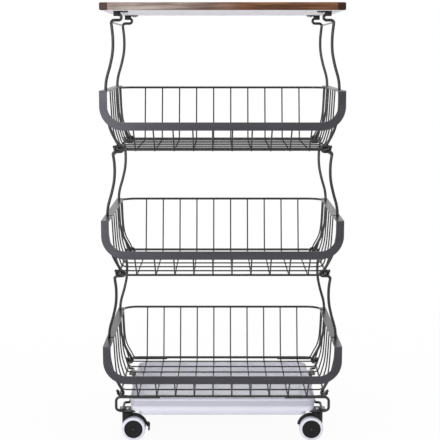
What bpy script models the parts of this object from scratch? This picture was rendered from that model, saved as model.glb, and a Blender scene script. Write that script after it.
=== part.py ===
"""Rolling kitchen rack: three stacked wire baskets, a wooden top board and a drip tray."""

import math

import bmesh
import bpy
from mathutils import Matrix, Vector

# Clearances and welds
GAP = 0.0003
RUNNING_GAP = 0.0005
WELD = 0.0003
RING_WELD = 0.0005
OVERRUN = 0.002
MERGE_DISTANCE = 0.00001

# Stack of tiers, measured at the floor wires of each basket
TIERS = ("lower", "middle", "upper")
TIER_PITCH = 0.228

# Basket wires, about the floor ring that everything else is set out from
THIN_WIRE = 0.0024
RING_RADIUS = 0.002
RING_HALF_WIDTH = 0.190
RING_HALF_DEPTH = 0.1365
RING_LIFT = 0.0026
RING_CORNER = 0.018
LENGTHWISE_COUNT = 10
LENGTHWISE_END_GAP = 0.034
CROSS_COUNT = 6
CROSS_END_GAP = 0.0375
CROSS_SHIFT = 0.0065
REAR_CROSS_INSET = 0.0045
CROSS_BEND = 0.012
CROSS_RISE_ANGLE = -15
LENGTHWISE_BEND = 0.006
SIDE_KNEE_OUT = 0.010
SIDE_KNEE_HEIGHT = 0.0425
SIDE_FLARE = 0.014
RIM_RADIUS = 0.00225
RIM_HEIGHT = 0.1045
RIM_FLARE = 0.016
RIM_CORNER = 0.030
REAR_LEAN = 0.0245
WIRE_LANDING = 0.012

# Front band, a flat steel strip folded back along both sides
BAND_WIDTH = 0.0144
BAND_THICKNESS = 0.002
BAND_BOTTOM = 0.040
BAND_FLARE = 0.0245
BAND_CORNER = 0.042
BAND_REACH = 0.0485
SIDE_STRIP_WIDTH = 0.014
NOTCH_WIDTH = 0.008
NOTCH_WALL = 0.0025

# Side supports between the tiers
LEG_RADIUS = 0.0025
LEG_BULGE = 0.0195
LEG_EYE_INSET = 0.0235
LEG_HOOK_INSET = 0.0145
LEG_TIP_REACH = 0.0075
LEG_TIP_RISE = 0.0035
LEG_BULGE_SHARES = (0.51, 0.82, 1.0, 1.0, 0.9, 0.54, 0.29, 0.25, 0.40)
LEG_HEIGHT_SHARES = (0.14, 0.232, 0.325, 0.465, 0.557, 0.667, 0.772, 0.882, 0.95)
EYE_OPEN_ANGLE = 390
SHOULDER_ANGLE = 20
HOOK_INSET = 0.006
HOOK_ARM = 0.009
CROSSBAR_RADIUS = 0.0015
CROSSBAR_DROP = 0.0035
TOP_RISE = 0.0057

# Top board and its clips
BOARD_WIDTH = 0.430
BOARD_DEPTH = 0.299
BOARD_THICKNESS = 0.014
BOARD_REAR_OVERHANG = 0.0025
BOARD_EDGE = 0.001
BOARD_CORNER = 0.003
CLIP_LENGTH = 0.012
CLIP_WIDTH = 0.011
CLIP_ROOF = 0.0033
CLIP_SKIRT = 0.0025
CLIP_FLANGE_LENGTH = 0.014
CLIP_FLANGE_THICKNESS = 0.002
SCREW_RADIUS = 0.0017
SCREW_HEAD_RADIUS = 0.0034
SCREW_HEAD_HEIGHT = 0.0015
SCREW_BITE = 0.008
SCREW_SIDES = 6

# Casters, from the floor up
WHEEL_RADIUS = 0.022
WHEEL_WIDTH = 0.0135
WHEEL_SIDE_GAP = 0.00075
WHEEL_TRAIL = 0.0115
WHEEL_SIDES = 16
TYRE_DEPTH = 0.0048
TYRE_ROUNDING = 0.002
AXLE_RADIUS = 0.002
AXLE_OVERHANG = 0.001
AXLE_SIDES = 10
HOOD_WALL = 0.0027
HOOD_GAP = 0.0008
HOOD_WEB = 0.006
HOOD_TIP_ANGLE = 10
HOOD_CAP = 0.00627
HOOD_SIDES = 32
BOSS_RADIUS = 0.0103
BOSS_HEIGHT = 0.0225
BOSS_SIDES = 20
WEB_HEEL_INSET = 0.001
WEB_FOOT_ANGLES = (200, 340)
COLLAR_HEIGHT = 0.0022
STEM_INSET_X = 0.0195
STEM_INSET_Y = 0.0145
STEM_RADIUS = 0.0035
STEM_SIDES = 10
STEM_SEAT_DEPTH = 0.0055
STEM_COLLAR_RADIUS = 0.007
STEM_HEAD_RADIUS = 0.0042
STEM_HEAD_HEIGHT = 0.002
PLATE_SIZE = 0.031
PLATE_THICKNESS = 0.002
PLATE_CORNER = 0.003

# Brake levers
LEVER_STANDOFF = 0.0042
LEVER_PIVOT_ANGLE = 11
LEVER_BARREL_RADIUS = 0.003
LEVER_BARREL_ANGLES = (160, 20)
LEVER_PIN_RADIUS = 0.0014
LEVER_PIN_SIDES = 8
LEVER_WIDTH = 0.010
LEVER_DROP = 0.0117
LEVER_OUT = 0.0022
LEVER_THICKNESS = 0.003
LUG_ROOT_ANGLES = (2, 20)
LUG_CAP_ANGLES = (130, -80)

# Foot frames below the lowest basket
FOOT_WIRE_RADIUS = 0.0025
FOOT_FLARE = 0.006
FOOT_BAR_LENGTH = 0.081
FOOT_RISE = 0.0229
FOOT_CORNER = 0.008
FOOT_LOWER_CORNER = 0.006
FOOT_TURN = 0.0055
FOOT_JOG = 0.0099
FOOT_JOG_REACH = 0.025
FOOT_REAR_ANGLE = -45

# Drip tray
TRAY_SIDE_GAP = 0.0006
TRAY_FRONT_REACH = 0.0035
TRAY_REAR_INSET = 0.0215
TRAY_WALL = 0.0016
TRAY_KEEL = 0.0086
TRAY_KEEL_SETBACK = 0.005
TRAY_SHOULDER = 0.015
TRAY_CORNER = 0.016
TRAY_TOP_GAP = 0.0008
TRAY_WALL_DRAFT = 0.0015

# Widths and depths worked out from the floor ring
LENGTHWISE_SPACING = 2 * (RING_HALF_WIDTH - LENGTHWISE_END_GAP) / (LENGTHWISE_COUNT - 1)
CROSS_SPACING = 2 * (RING_HALF_DEPTH - CROSS_END_GAP) / (CROSS_COUNT - 1)
RING_BEND_REACH = THIN_WIRE / 2 + RING_RADIUS - RING_WELD
RIM_HALF_WIDTH = RING_HALF_WIDTH + RIM_FLARE
BAND_HALF_WIDTH = RING_HALF_WIDTH + BAND_FLARE
BAND_FRONT = RING_HALF_DEPTH + BAND_REACH
LEG_EYE_HALF_SPAN = RING_HALF_DEPTH - LEG_EYE_INSET
LEG_HOOK_HALF_SPAN = RING_HALF_DEPTH - LEG_HOOK_INSET
FOOT_HALF_WIDTH = RING_HALF_WIDTH + FOOT_FLARE
FOOT_INNER_END = FOOT_HALF_WIDTH - FOOT_BAR_LENGTH
FOOT_PLATE_HALF_SPAN = FOOT_HALF_WIDTH - FOOT_LOWER_CORNER - FOOT_TURN
FOOT_RUNNER_HALF_SPAN = FOOT_PLATE_HALF_SPAN - FOOT_JOG
TRAY_HALF_WIDTH = FOOT_RUNNER_HALF_SPAN - FOOT_WIRE_RADIUS - TRAY_SIDE_GAP
TRAY_FRONT = RING_HALF_DEPTH + TRAY_FRONT_REACH
TRAY_REAR = RING_HALF_DEPTH - TRAY_REAR_INSET
STEM_SPREAD_X = FOOT_HALF_WIDTH - STEM_INSET_X
STEM_SPREAD_Y = RING_HALF_DEPTH - STEM_INSET_Y
BOARD_REAR = RING_HALF_DEPTH + BOARD_REAR_OVERHANG
REAR_RIM = RING_HALF_DEPTH + REAR_LEAN
REAR_REACH = REAR_RIM + RIM_RADIUS
CENTRE_SHIFT = (BAND_FRONT - REAR_REACH) / 2

# Heights worked out from the wheels up
FLAT_SHARE = 1 / math.cos(math.pi / WHEEL_SIDES)
HUB_RADIUS = WHEEL_RADIUS - TYRE_DEPTH
WHEEL_PITCH = HOOD_WEB + WHEEL_WIDTH + 2 * WHEEL_SIDE_GAP
HOOD_BORE = WHEEL_RADIUS * FLAT_SHARE + HOOD_GAP
HOOD_TOP = WHEEL_RADIUS + HOOD_BORE + HOOD_CAP
PLATE_BOTTOM = HOOD_TOP + GAP + COLLAR_HEIGHT + GAP
PLATE_TOP = PLATE_BOTTOM + PLATE_THICKNESS
LEVER_PIVOT_REACH = WHEEL_RADIUS + LEVER_STANDOFF
FOOT_RUNNER_HEIGHT = PLATE_TOP + GAP + FOOT_WIRE_RADIUS
LOWEST_FLOOR = FOOT_RUNNER_HEIGHT + FOOT_RISE
UPPER_FLOOR = LOWEST_FLOOR + (len(TIERS) - 1) * TIER_PITCH
STRIP_BOTTOM = RIM_HEIGHT + RIM_RADIUS + GAP
EYE_RADIUS = RING_RADIUS + LEG_RADIUS + RUNNING_GAP
HOOK_BEND = RING_RADIUS + LEG_RADIUS + GAP
HOOK_LOWER = TIER_PITCH + RING_LIFT - HOOK_BEND
ARM_TOP = UPPER_FLOOR + TOP_RISE + HOOK_LOWER + 2 * HOOK_BEND + LEG_RADIUS + GAP
CLIP_DEPTH = CLIP_ROOF + GAP + CLIP_SKIRT
BOARD_UNDERSIDE = ARM_TOP + CLIP_ROOF + GAP

STEEL_DARK = (0.028, 0.028, 0.030, 1.0)
BAND_GREY = (0.045, 0.045, 0.050, 1.0)
PLASTIC_BLACK = (0.012, 0.012, 0.013, 1.0)
TYRE_WHITE = (0.72, 0.72, 0.80, 1.0)
TRAY_WHITE = (0.80, 0.81, 0.86, 1.0)
WOOD_BROWN = (0.20, 0.10, 0.055, 1.0)
ZINC = (0.45, 0.45, 0.46, 1.0)


def clear_scene():
    for old in list(bpy.data.objects):
        bpy.data.objects.remove(old, do_unlink=True)


def new_collection(name):
    collection = bpy.data.collections.new(name)
    bpy.context.scene.collection.children.link(collection)
    return collection


def material(name, colour, roughness, metallic):
    made = bpy.data.materials.new(name)
    made.use_nodes = True
    shader = made.node_tree.nodes["Principled BSDF"]
    shader.inputs["Base Color"].default_value = colour
    shader.inputs["Roughness"].default_value = roughness
    shader.inputs["Metallic"].default_value = metallic
    return made


clear_scene()
RACK = new_collection("kitchen_rack")
CUTTERS = new_collection("cutters")
STEEL = ("painted steel wire", STEEL_DARK, 0.35, 0.6)
BAND = ("painted steel strip", BAND_GREY, 0.4, 0.6)
PLASTIC = ("black plastic", PLASTIC_BLACK, 0.45, 0.0)
TYRE = ("pale tyre", TYRE_WHITE, 0.5, 0.0)
TRAY = ("white tray plastic", TRAY_WHITE, 0.3, 0.0)
WOOD = ("brown board", WOOD_BROWN, 0.55, 0.0)
PLATED = ("plated steel", ZINC, 0.3, 0.9)

ORIGIN = bpy.data.objects.new("rack_origin", None)
ORIGIN.location = (0, CENTRE_SHIFT, 0)
RACK.objects.link(ORIGIN)


def place(obj, finish, parent=ORIGIN):
    """Puts a finished sub-part in the rack under its parent empty, with its own material."""
    for holder in list(obj.users_collection):
        holder.objects.unlink(obj)
    RACK.objects.link(obj)
    obj.parent = parent
    name, colour, roughness, metallic = finish
    obj.data.materials.clear()
    obj.data.materials.append(material(obj.name + " " + name, colour, roughness, metallic))
    return obj


def shade(obj):
    obj.data.shade_smooth()
    obj.data.set_sharp_from_angle(angle=math.radians(40))


def mesh_object(name, vertices, edges, faces):
    mesh = bpy.data.meshes.new(name)
    mesh.from_pydata(vertices, edges, faces)
    obj = bpy.data.objects.new(name, mesh)
    RACK.objects.link(obj)
    return obj


def weld_mesh(mesh):
    """Joins a tube's loose caps to its wall."""
    work = bmesh.new()
    work.from_mesh(mesh)
    bmesh.ops.remove_doubles(work, verts=work.verts, dist=MERGE_DISTANCE)
    work.to_mesh(mesh)
    work.free()


def wire(name, points, radius, resolution=1, closed=False, tilt=0):
    """A round wire along the points, as a mesh that can be joined to others."""
    curve = bpy.data.curves.new(name, "CURVE")
    curve.dimensions = "3D"
    curve.twist_mode = "MINIMUM"
    curve.bevel_depth = radius
    curve.bevel_resolution = resolution
    curve.use_fill_caps = not closed
    spline = curve.splines.new("POLY")
    spline.points.add(len(points) - 1)
    for spot, point in zip(spline.points, points):
        spot.co = (*point, 1)
        spot.tilt = tilt
    spline.use_cyclic_u = closed
    guide = bpy.data.objects.new(name + "_curve", curve)
    RACK.objects.link(guide)
    bpy.context.view_layer.update()
    graph = bpy.context.evaluated_depsgraph_get()
    mesh = bpy.data.meshes.new_from_object(guide.evaluated_get(graph))
    weld_mesh(mesh)
    obj = bpy.data.objects.new(name, mesh)
    obj.matrix_world = guide.matrix_world.copy()
    RACK.objects.link(obj)
    bpy.data.objects.remove(guide)
    return obj


def square_wire(name, points):
    """A thin grid wire with four flat sides, level with the floor."""
    return wire(name, points, THIN_WIRE / math.sqrt(2), 0, False, math.radians(45))


def settle(obj):
    """Keeps the shape that the modifiers made, as the object's own mesh."""
    bpy.context.view_layer.update()
    graph = bpy.context.evaluated_depsgraph_get()
    shaped = bpy.data.meshes.new_from_object(obj.evaluated_get(graph))
    obj.modifiers.clear()
    obj.data = shaped
    return obj


def combine(obj, others, operation):
    group = bpy.data.collections.new(obj.name + "_tools")
    CUTTERS.children.link(group)
    for other in others:
        for holder in list(other.users_collection):
            holder.objects.unlink(other)
        group.objects.link(other)
    step = obj.modifiers.new(operation.lower(), "BOOLEAN")
    step.operation = operation
    step.operand_type = "COLLECTION"
    step.collection = group
    step.solver = "EXACT"
    settle(obj)
    for other in others:
        bpy.data.objects.remove(other)
    bpy.data.collections.remove(group)
    return obj


def join(obj, others):
    """Fuses the other solids into obj."""
    return combine(obj, others, "UNION")


def cut(obj, cutters):
    """Takes the cutters out of obj."""
    return combine(obj, cutters, "DIFFERENCE")


def box(name, low, high):
    """A block between two corners, with its origin at its middle."""
    middle = [(a + b) / 2 for a, b in zip(low, high)]
    bpy.ops.mesh.primitive_cube_add(size=1, location=middle)
    obj = bpy.context.object
    obj.name = name
    obj.scale = [b - a for a, b in zip(low, high)]
    bpy.ops.object.transform_apply(location=False, rotation=False, scale=True)
    return obj


def rod(name, centre, radius, length, axis="Z", sides=16, turn=0):
    """A straight round bar about its centre."""
    rotation = {"X": (0, math.radians(90), 0), "Y": (math.radians(90), 0, 0), "Z": (0, 0, 0)}[axis]
    bpy.ops.mesh.primitive_cylinder_add(
        vertices=sides, radius=radius, depth=length, location=centre, rotation=rotation
    )
    obj = bpy.context.object
    obj.name = name
    if turn:
        obj.data.transform(Matrix.Rotation(turn, 4, "Z"))
    return obj


def turned(name, profile, centre, sides, axis="Z", closed=False, turn=0):
    """A turned solid: the profile gives radius and height, outer side from top to bottom."""
    vertices = [(radius, 0, height) for radius, height in profile]
    edges = [(i, i + 1) for i in range(len(profile) - 1)]
    if closed:
        edges.append((len(profile) - 1, 0))
    obj = mesh_object(name, vertices, edges, [])
    obj.data.transform(Matrix.Rotation(turn, 4, "Z"))
    spin = obj.modifiers.new("turned", "SCREW")
    spin.steps = sides
    spin.render_steps = sides
    spin.use_merge_vertices = True
    spin.merge_threshold = MERGE_DISTANCE
    obj.location = centre
    if axis == "Y":
        obj.rotation_euler = (math.radians(90), 0, 0)
    return obj


def arc(centre, radius, start, end, steps):
    """Points on a circle in a plane, angles in degrees."""
    turns = [math.radians(start + (end - start) * i / steps) for i in range(steps + 1)]
    return [(centre[0] + radius * math.cos(t), centre[1] + radius * math.sin(t)) for t in turns]


def rounded_rectangle(half_width, half_depth, radius, steps, centre=(0, 0)):
    points = []
    for index, (sx, sy) in enumerate(((1, 1), (-1, 1), (-1, -1), (1, -1))):
        corner = (centre[0] + sx * (half_width - radius), centre[1] + sy * (half_depth - radius))
        points += arc(corner, radius, 90 * index, 90 * index + 90, steps)
    return points


def flat_plate(name, outline, thickness):
    """A flat outline in the XY plane, given its thickness evenly about it."""
    curve = bpy.data.curves.new(name, "CURVE")
    curve.dimensions = "2D"
    curve.fill_mode = "BOTH"
    curve.extrude = thickness / 2
    spline = curve.splines.new("POLY")
    spline.points.add(len(outline) - 1)
    for spot, point in zip(spline.points, outline):
        spot.co = (point[0], point[1], 0, 1)
    spline.use_cyclic_u = True
    guide = bpy.data.objects.new(name + "_outline", curve)
    RACK.objects.link(guide)
    bpy.context.view_layer.update()
    graph = bpy.context.evaluated_depsgraph_get()
    mesh = bpy.data.meshes.new_from_object(guide.evaluated_get(graph))
    weld_mesh(mesh)
    obj = bpy.data.objects.new(name, mesh)
    RACK.objects.link(obj)
    bpy.data.objects.remove(guide)
    return obj


def stand_up(obj, y):
    """Turns a plate drawn in XY so that its outline stands in XZ at the given depth."""
    obj.data.transform(Matrix.Translation((0, y, 0)) @ Matrix.Rotation(math.radians(90), 4, "X"))
    return obj


def leg_depth(height):
    """Half the span between a support's two wires at a height above the floor wires."""
    low = LEG_HEIGHT_SHARES[0] * TIER_PITCH
    high = LEG_HEIGHT_SHARES[-2] * TIER_PITCH
    share = min(max((height - low) / (high - low), 0), 1)
    return LEG_EYE_HALF_SPAN + share * (LEG_HOOK_HALF_SPAN - LEG_EYE_HALF_SPAN)


def ring_bend(top_reach, top_height, steps):
    """The bend that lifts a floor wire over the inner side of the ring, up to a point."""
    across = top_reach - RING_HALF_DEPTH
    up = top_height - RING_LIFT
    slope = math.atan2(up, across) - math.asin(RING_BEND_REACH / math.hypot(across, up))
    corner = top_reach - top_height / math.tan(slope)
    middle = corner - LENGTHWISE_BEND * math.tan(slope / 2)
    return arc((middle, LENGTHWISE_BEND), LENGTHWISE_BEND, -90, math.degrees(slope) - 90, steps)


def lengthwise_path(x):
    """One bent wire of the basket: up the back, along the floor and up to the front band."""
    front_top = BAND_BOTTOM + BAND_WIDTH
    landing = front_top - WIRE_LANDING
    band_back = BAND_FRONT - BAND_THICKNESS - GAP - THIN_WIRE / 2
    points = [(REAR_RIM, RIM_HEIGHT)]
    points += list(reversed(ring_bend(REAR_RIM, RIM_HEIGHT, 3)))
    points += [(-y, z) for y, z in ring_bend(band_back, landing, 1)]
    points += [(-band_back, landing), (-band_back, front_top)]
    return [(x, y, z) for y, z in points]


def ring_half_width(y):
    """Half the width of the floor ring at a depth, with its rounded corners."""
    past = max(abs(y) - (RING_HALF_DEPTH - RING_CORNER), 0)
    return RING_HALF_WIDTH - RING_CORNER + math.sqrt(RING_CORNER**2 - past**2)


def cross_path(y):
    """One bent wire across the floor and up both sides to the side strips."""
    level = THIN_WIRE - WELD
    rise = level + CROSS_BEND
    reach = CROSS_BEND + RING_BEND_REACH
    bend = ring_half_width(y) - math.sqrt(reach**2 - (rise - RING_LIFT) ** 2)
    half = arc((bend, rise), CROSS_BEND, -90, CROSS_RISE_ANGLE, 2)
    half.append((RING_HALF_WIDTH + SIDE_KNEE_OUT, SIDE_KNEE_HEIGHT))
    half.append((RING_HALF_WIDTH + SIDE_FLARE, STRIP_BOTTOM - GAP))
    right = [(x, y, z) for x, z in half]
    left = [(-x, y, z) for x, z in reversed(half)]
    return left + right


def repeated(shape, name, height):
    """A copy of a finished sub-part at another tier."""
    copy = bpy.data.objects.new(name, shape.data.copy())
    copy.location = (shape.location.x, shape.location.y, height)
    return copy


def shape_basket():
    """The welded wires of one basket: floor ring, rear rim, lengthwise and cross wires."""
    outline = rounded_rectangle(RING_HALF_WIDTH, RING_HALF_DEPTH, RING_CORNER, 3)
    ring = wire("floor_ring", [(x, y, RING_LIFT) for x, y in outline], RING_RADIUS, 1, True)
    others = []
    for index in range(LENGTHWISE_COUNT):
        x = (index - (LENGTHWISE_COUNT - 1) / 2) * LENGTHWISE_SPACING
        others.append(square_wire("lengthwise_wire", lengthwise_path(x)))
    depths = [(index - (CROSS_COUNT - 1) / 2) * CROSS_SPACING for index in range(CROSS_COUNT)]
    depths = [y + CROSS_SHIFT for y in depths] + [RING_HALF_DEPTH - REAR_CROSS_INSET]
    for y in depths:
        others.append(square_wire("cross_wire", cross_path(y)))
    corner = arc((RIM_HALF_WIDTH - RIM_CORNER, REAR_RIM - RIM_CORNER), RIM_CORNER, 0, 90, 4)
    right = [(x, y, RIM_HEIGHT) for x, y in corner]
    left = [(-x, y, RIM_HEIGHT) for x, y in reversed(corner)]
    others.append(wire("rear_rim", right + left, RIM_RADIUS))
    return join(ring, others)


def shape_band():
    """The flat front band in its upright U, with its two strips folded back along the sides."""
    top = STRIP_BOTTOM + BAND_THICKNESS
    inner_width = BAND_HALF_WIDTH - SIDE_STRIP_WIDTH
    inner_corner = BAND_CORNER - BAND_WIDTH
    outer = arc((BAND_HALF_WIDTH - BAND_CORNER, BAND_BOTTOM + BAND_CORNER), BAND_CORNER, 0, -90, 7)
    inner = arc(
        (inner_width - inner_corner, BAND_BOTTOM + BAND_CORNER), inner_corner, 0, -90, 6
    )
    half = [(BAND_HALF_WIDTH, top)] + outer
    inner_half = [(inner_width, top)] + inner
    outline = half + [(-x, z) for x, z in reversed(half)]
    outline += [(-x, z) for x, z in inner_half] + list(reversed(inner_half))
    plate = flat_plate("front_band", outline, BAND_THICKNESS)
    stand_up(plate, -BAND_FRONT + BAND_THICKNESS / 2)
    strips = []
    notches = []
    for side in (-1, 1):
        low_x, high_x = sorted((side * inner_width, side * BAND_HALF_WIDTH))
        front_y = -BAND_FRONT + BAND_THICKNESS / 4
        strips.append(
            box("strip", (low_x, front_y, STRIP_BOTTOM), (high_x, RING_HALF_DEPTH, top))
        )
        for end in (-1, 1):
            middle = end * leg_depth(STRIP_BOTTOM)
            open_x = side * (inner_width - OVERRUN)
            wall_x = side * (BAND_HALF_WIDTH - NOTCH_WALL)
            low_x, high_x = sorted((open_x, wall_x))
            notches.append(
                box(
                    "notch",
                    (low_x, middle - NOTCH_WIDTH / 2, STRIP_BOTTOM - OVERRUN),
                    (high_x, middle + NOTCH_WIDTH / 2, top + OVERRUN),
                )
            )
    join(plate, strips)
    return cut(plate, notches)


def leg_path(end, rise):
    """One support wire in the section plane, from its eye on the ring up to its hook."""
    heights = [share * TIER_PITCH for share in LEG_HEIGHT_SHARES]
    profile = [(share * LEG_BULGE, z - RING_LIFT) for share, z in zip(LEG_BULGE_SHARES, heights)]
    first = Vector(profile[0])
    tangent = math.degrees(math.atan2(first.y, first.x) + math.acos(EYE_RADIUS / first.length))
    eye = arc((0, 0), EYE_RADIUS, EYE_OPEN_ANGLE, tangent, 6)
    tip = [(eye[0][0] + LEG_TIP_REACH / 2, eye[0][1] + LEG_TIP_RISE / 2)]
    lower = HOOK_LOWER - RING_LIFT + rise
    shoulder = shoulder_arc(rise)
    turn_back = arc((-HOOK_INSET, lower + HOOK_BEND), HOOK_BEND, 270, 90, 4)
    end_of_hook = [(HOOK_ARM - HOOK_INSET, lower + 2 * HOOK_BEND)]
    section = tip + eye + profile[:-1] + shoulder + turn_back + end_of_hook
    return [(x, end * leg_depth(z + RING_LIFT), z) for x, z in section]


def shoulder_arc(rise):
    """The bend below a hook, from the leg to the hook's lower arm."""
    bend_x = LEG_BULGE_SHARES[-1] * LEG_BULGE
    lower = HOOK_LOWER - RING_LIFT + rise
    middle = (bend_x - HOOK_INSET, lower - HOOK_INSET)
    return arc(middle, HOOK_INSET, SHOULDER_ANGLE, 90, 2)


def crossbar_spot(rise):
    """Where a crossbar meets its legs: at the shoulder, or below it where a ring's eyes hang."""
    shoulder_reach, shoulder_z = shoulder_arc(rise)[0]
    if rise > 0:
        return shoulder_reach, shoulder_z
    below_reach = LEG_BULGE_SHARES[-2] * LEG_BULGE
    below_z = LEG_HEIGHT_SHARES[-2] * TIER_PITCH - RING_LIFT
    share = CROSSBAR_DROP / (shoulder_z - below_z)
    return shoulder_reach + share * (below_reach - shoulder_reach), shoulder_z - CROSSBAR_DROP


def shape_leg(side, rise):
    """A side support: two bent wires and a crossbar, about its hinge on the floor ring."""
    near = [(side * x, y, z) for x, y, z in leg_path(-1, rise)]
    far = [(side * x, y, z) for x, y, z in leg_path(1, rise)]
    frame = wire("support", near, LEG_RADIUS)
    rear = wire("support_rear_wire", far, LEG_RADIUS)
    bar_reach, bar_z = crossbar_spot(rise)
    bar_x = side * bar_reach
    bar_ends = [(bar_x, -LEG_HOOK_HALF_SPAN, bar_z), (bar_x, LEG_HOOK_HALF_SPAN, bar_z)]
    bar = wire("support_crossbar", bar_ends, CROSSBAR_RADIUS)
    join(frame, [rear, bar])
    frame.location = (side * RING_HALF_WIDTH, 0, 0)
    return frame


def make_board():
    middle_y = BOARD_REAR - BOARD_DEPTH / 2
    outline = rounded_rectangle(BOARD_WIDTH / 2, BOARD_DEPTH / 2, BOARD_CORNER, 3)
    board = flat_plate("top_board", outline, BOARD_THICKNESS)
    board.location = (0, middle_y, BOARD_UNDERSIDE + BOARD_THICKNESS / 2)
    soften = board.modifiers.new("softened edges", "BEVEL")
    soften.width = BOARD_EDGE
    soften.segments = 1
    soften.limit_method = "ANGLE"
    soften.angle_limit = math.radians(60)
    settle(board)
    holes = []
    for spot in clip_spots():
        middle = (spot["screw_x"], spot["y"], BOARD_UNDERSIDE + (SCREW_BITE + GAP - OVERRUN) / 2)
        depth = SCREW_BITE + GAP + OVERRUN
        holes.append(rod("screw_hole", middle, SCREW_RADIUS + GAP, depth, sides=SCREW_SIDES))
    return place(cut(board, holes), WOOD)


def clip_spots():
    """Where each clip sits: on the straight upper arm of its support's hook."""
    middle = RING_HALF_WIDTH - HOOK_INSET + HOOK_ARM / 2 - CLIP_LENGTH / 8
    spots = []
    for label_y, sy in (("front", -1), ("rear", 1)):
        for label_x, sx in (("left", -1), ("right", 1)):
            spots.append(
                {
                    "label": f"{label_y}_{label_x}",
                    "side": sx,
                    "x": sx * middle,
                    "screw_x": sx * (middle - CLIP_LENGTH / 2 - CLIP_FLANGE_LENGTH / 2),
                    "y": sy * LEG_HOOK_HALF_SPAN,
                }
            )
    return spots


def make_clip(spot):
    """A saddle that drops over a hook's upper arm, with a flange screwed to the board."""
    top = BOARD_UNDERSIDE - GAP
    half = CLIP_LENGTH / 2
    saddle = box(
        "board_clip_" + spot["label"],
        (spot["x"] - half, spot["y"] - CLIP_WIDTH / 2, top - CLIP_DEPTH),
        (spot["x"] + half, spot["y"] + CLIP_WIDTH / 2, top),
    )
    inner = spot["x"] - spot["side"] * (half - CLIP_LENGTH / 4)
    outer = spot["x"] - spot["side"] * (half + CLIP_FLANGE_LENGTH)
    flange = box(
        "clip_flange",
        (min(inner, outer), spot["y"] - CLIP_WIDTH / 2, top - CLIP_FLANGE_THICKNESS),
        (max(inner, outer), spot["y"] + CLIP_WIDTH / 2, top),
    )
    join(saddle, [flange])
    slot_half = LEG_RADIUS + GAP
    channel = box(
        "clip_channel",
        (spot["x"] - half - OVERRUN, spot["y"] - slot_half, top - CLIP_DEPTH - OVERRUN),
        (spot["x"] + half + OVERRUN, spot["y"] + slot_half, ARM_TOP),
    )
    hole = rod(
        "clip_hole",
        (spot["screw_x"], spot["y"], top - CLIP_FLANGE_THICKNESS / 2),
        SCREW_RADIUS + GAP,
        CLIP_FLANGE_THICKNESS + 2 * OVERRUN,
        sides=SCREW_SIDES,
    )
    return place(cut(saddle, [channel, hole]), PLASTIC)


def make_screw(spot):
    """The screw that holds a clip's flange to the board."""
    seat = BOARD_UNDERSIDE - GAP - CLIP_FLANGE_THICKNESS - GAP
    rise = BOARD_UNDERSIDE - seat + SCREW_BITE
    profile = [
        (0, rise),
        (SCREW_RADIUS, rise),
        (SCREW_RADIUS, 0),
        (SCREW_HEAD_RADIUS, 0),
        (SCREW_HEAD_RADIUS * 3 / 4, -SCREW_HEAD_HEIGHT),
        (0, -SCREW_HEAD_HEIGHT),
    ]
    centre = (spot["screw_x"], spot["y"], seat)
    return place(turned("clip_screw_" + spot["label"], profile, centre, SCREW_SIDES), PLATED)


def foot_half(bar_reach, bar_height):
    """Half of a foot frame: bar, drop, turn over the plate and jog in behind the stem."""
    outer = FOOT_HALF_WIDTH
    low = FOOT_RUNNER_HEIGHT
    down = arc((outer - FOOT_CORNER, bar_height - FOOT_CORNER), FOOT_CORNER, 90, 0, 3)
    foot = (outer - FOOT_LOWER_CORNER, low + FOOT_LOWER_CORNER)
    inward = arc(foot, FOOT_LOWER_CORNER, 0, -90, 3)
    turn = (outer - FOOT_LOWER_CORNER, bar_reach - FOOT_TURN)
    back = arc(turn, FOOT_TURN, 90, 180, 3)[1:]
    half_jog = FOOT_JOG / 2
    jog_y = STEM_SPREAD_Y - FOOT_JOG_REACH
    out_bend = arc((FOOT_PLATE_HALF_SPAN - half_jog, jog_y), half_jog, 0, -90, 3)
    in_bend = arc((FOOT_RUNNER_HALF_SPAN + half_jog, jog_y - FOOT_JOG), half_jog, 90, 180, 3)[1:]
    half = [(FOOT_INNER_END, bar_reach, bar_height)]
    half += [(x, bar_reach, z) for x, z in down + inward]
    half += [(x, y, low) for x, y in back + out_bend + in_bend]
    return half


def make_foot_frame(side, label):
    """One bent wire: front bar, drop, runner beside the tray, rise and rear bar."""
    touching = RING_RADIUS + FOOT_WIRE_RADIUS + GAP
    ring_height = LOWEST_FLOOR + RING_LIFT
    across, up = arc((RING_HALF_DEPTH, ring_height), touching, FOOT_REAR_ANGLE, 0, 1)[0]
    front = foot_half(RING_HALF_DEPTH + touching, ring_height)
    rear = foot_half(across, up)
    points = [(x, -y, z) for x, y, z in front] + list(reversed(rear))
    path = [(side * x, y, z) for x, y, z in points]
    return place(wire("foot_frame_" + label, path, FOOT_WIRE_RADIUS), STEEL)


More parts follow.
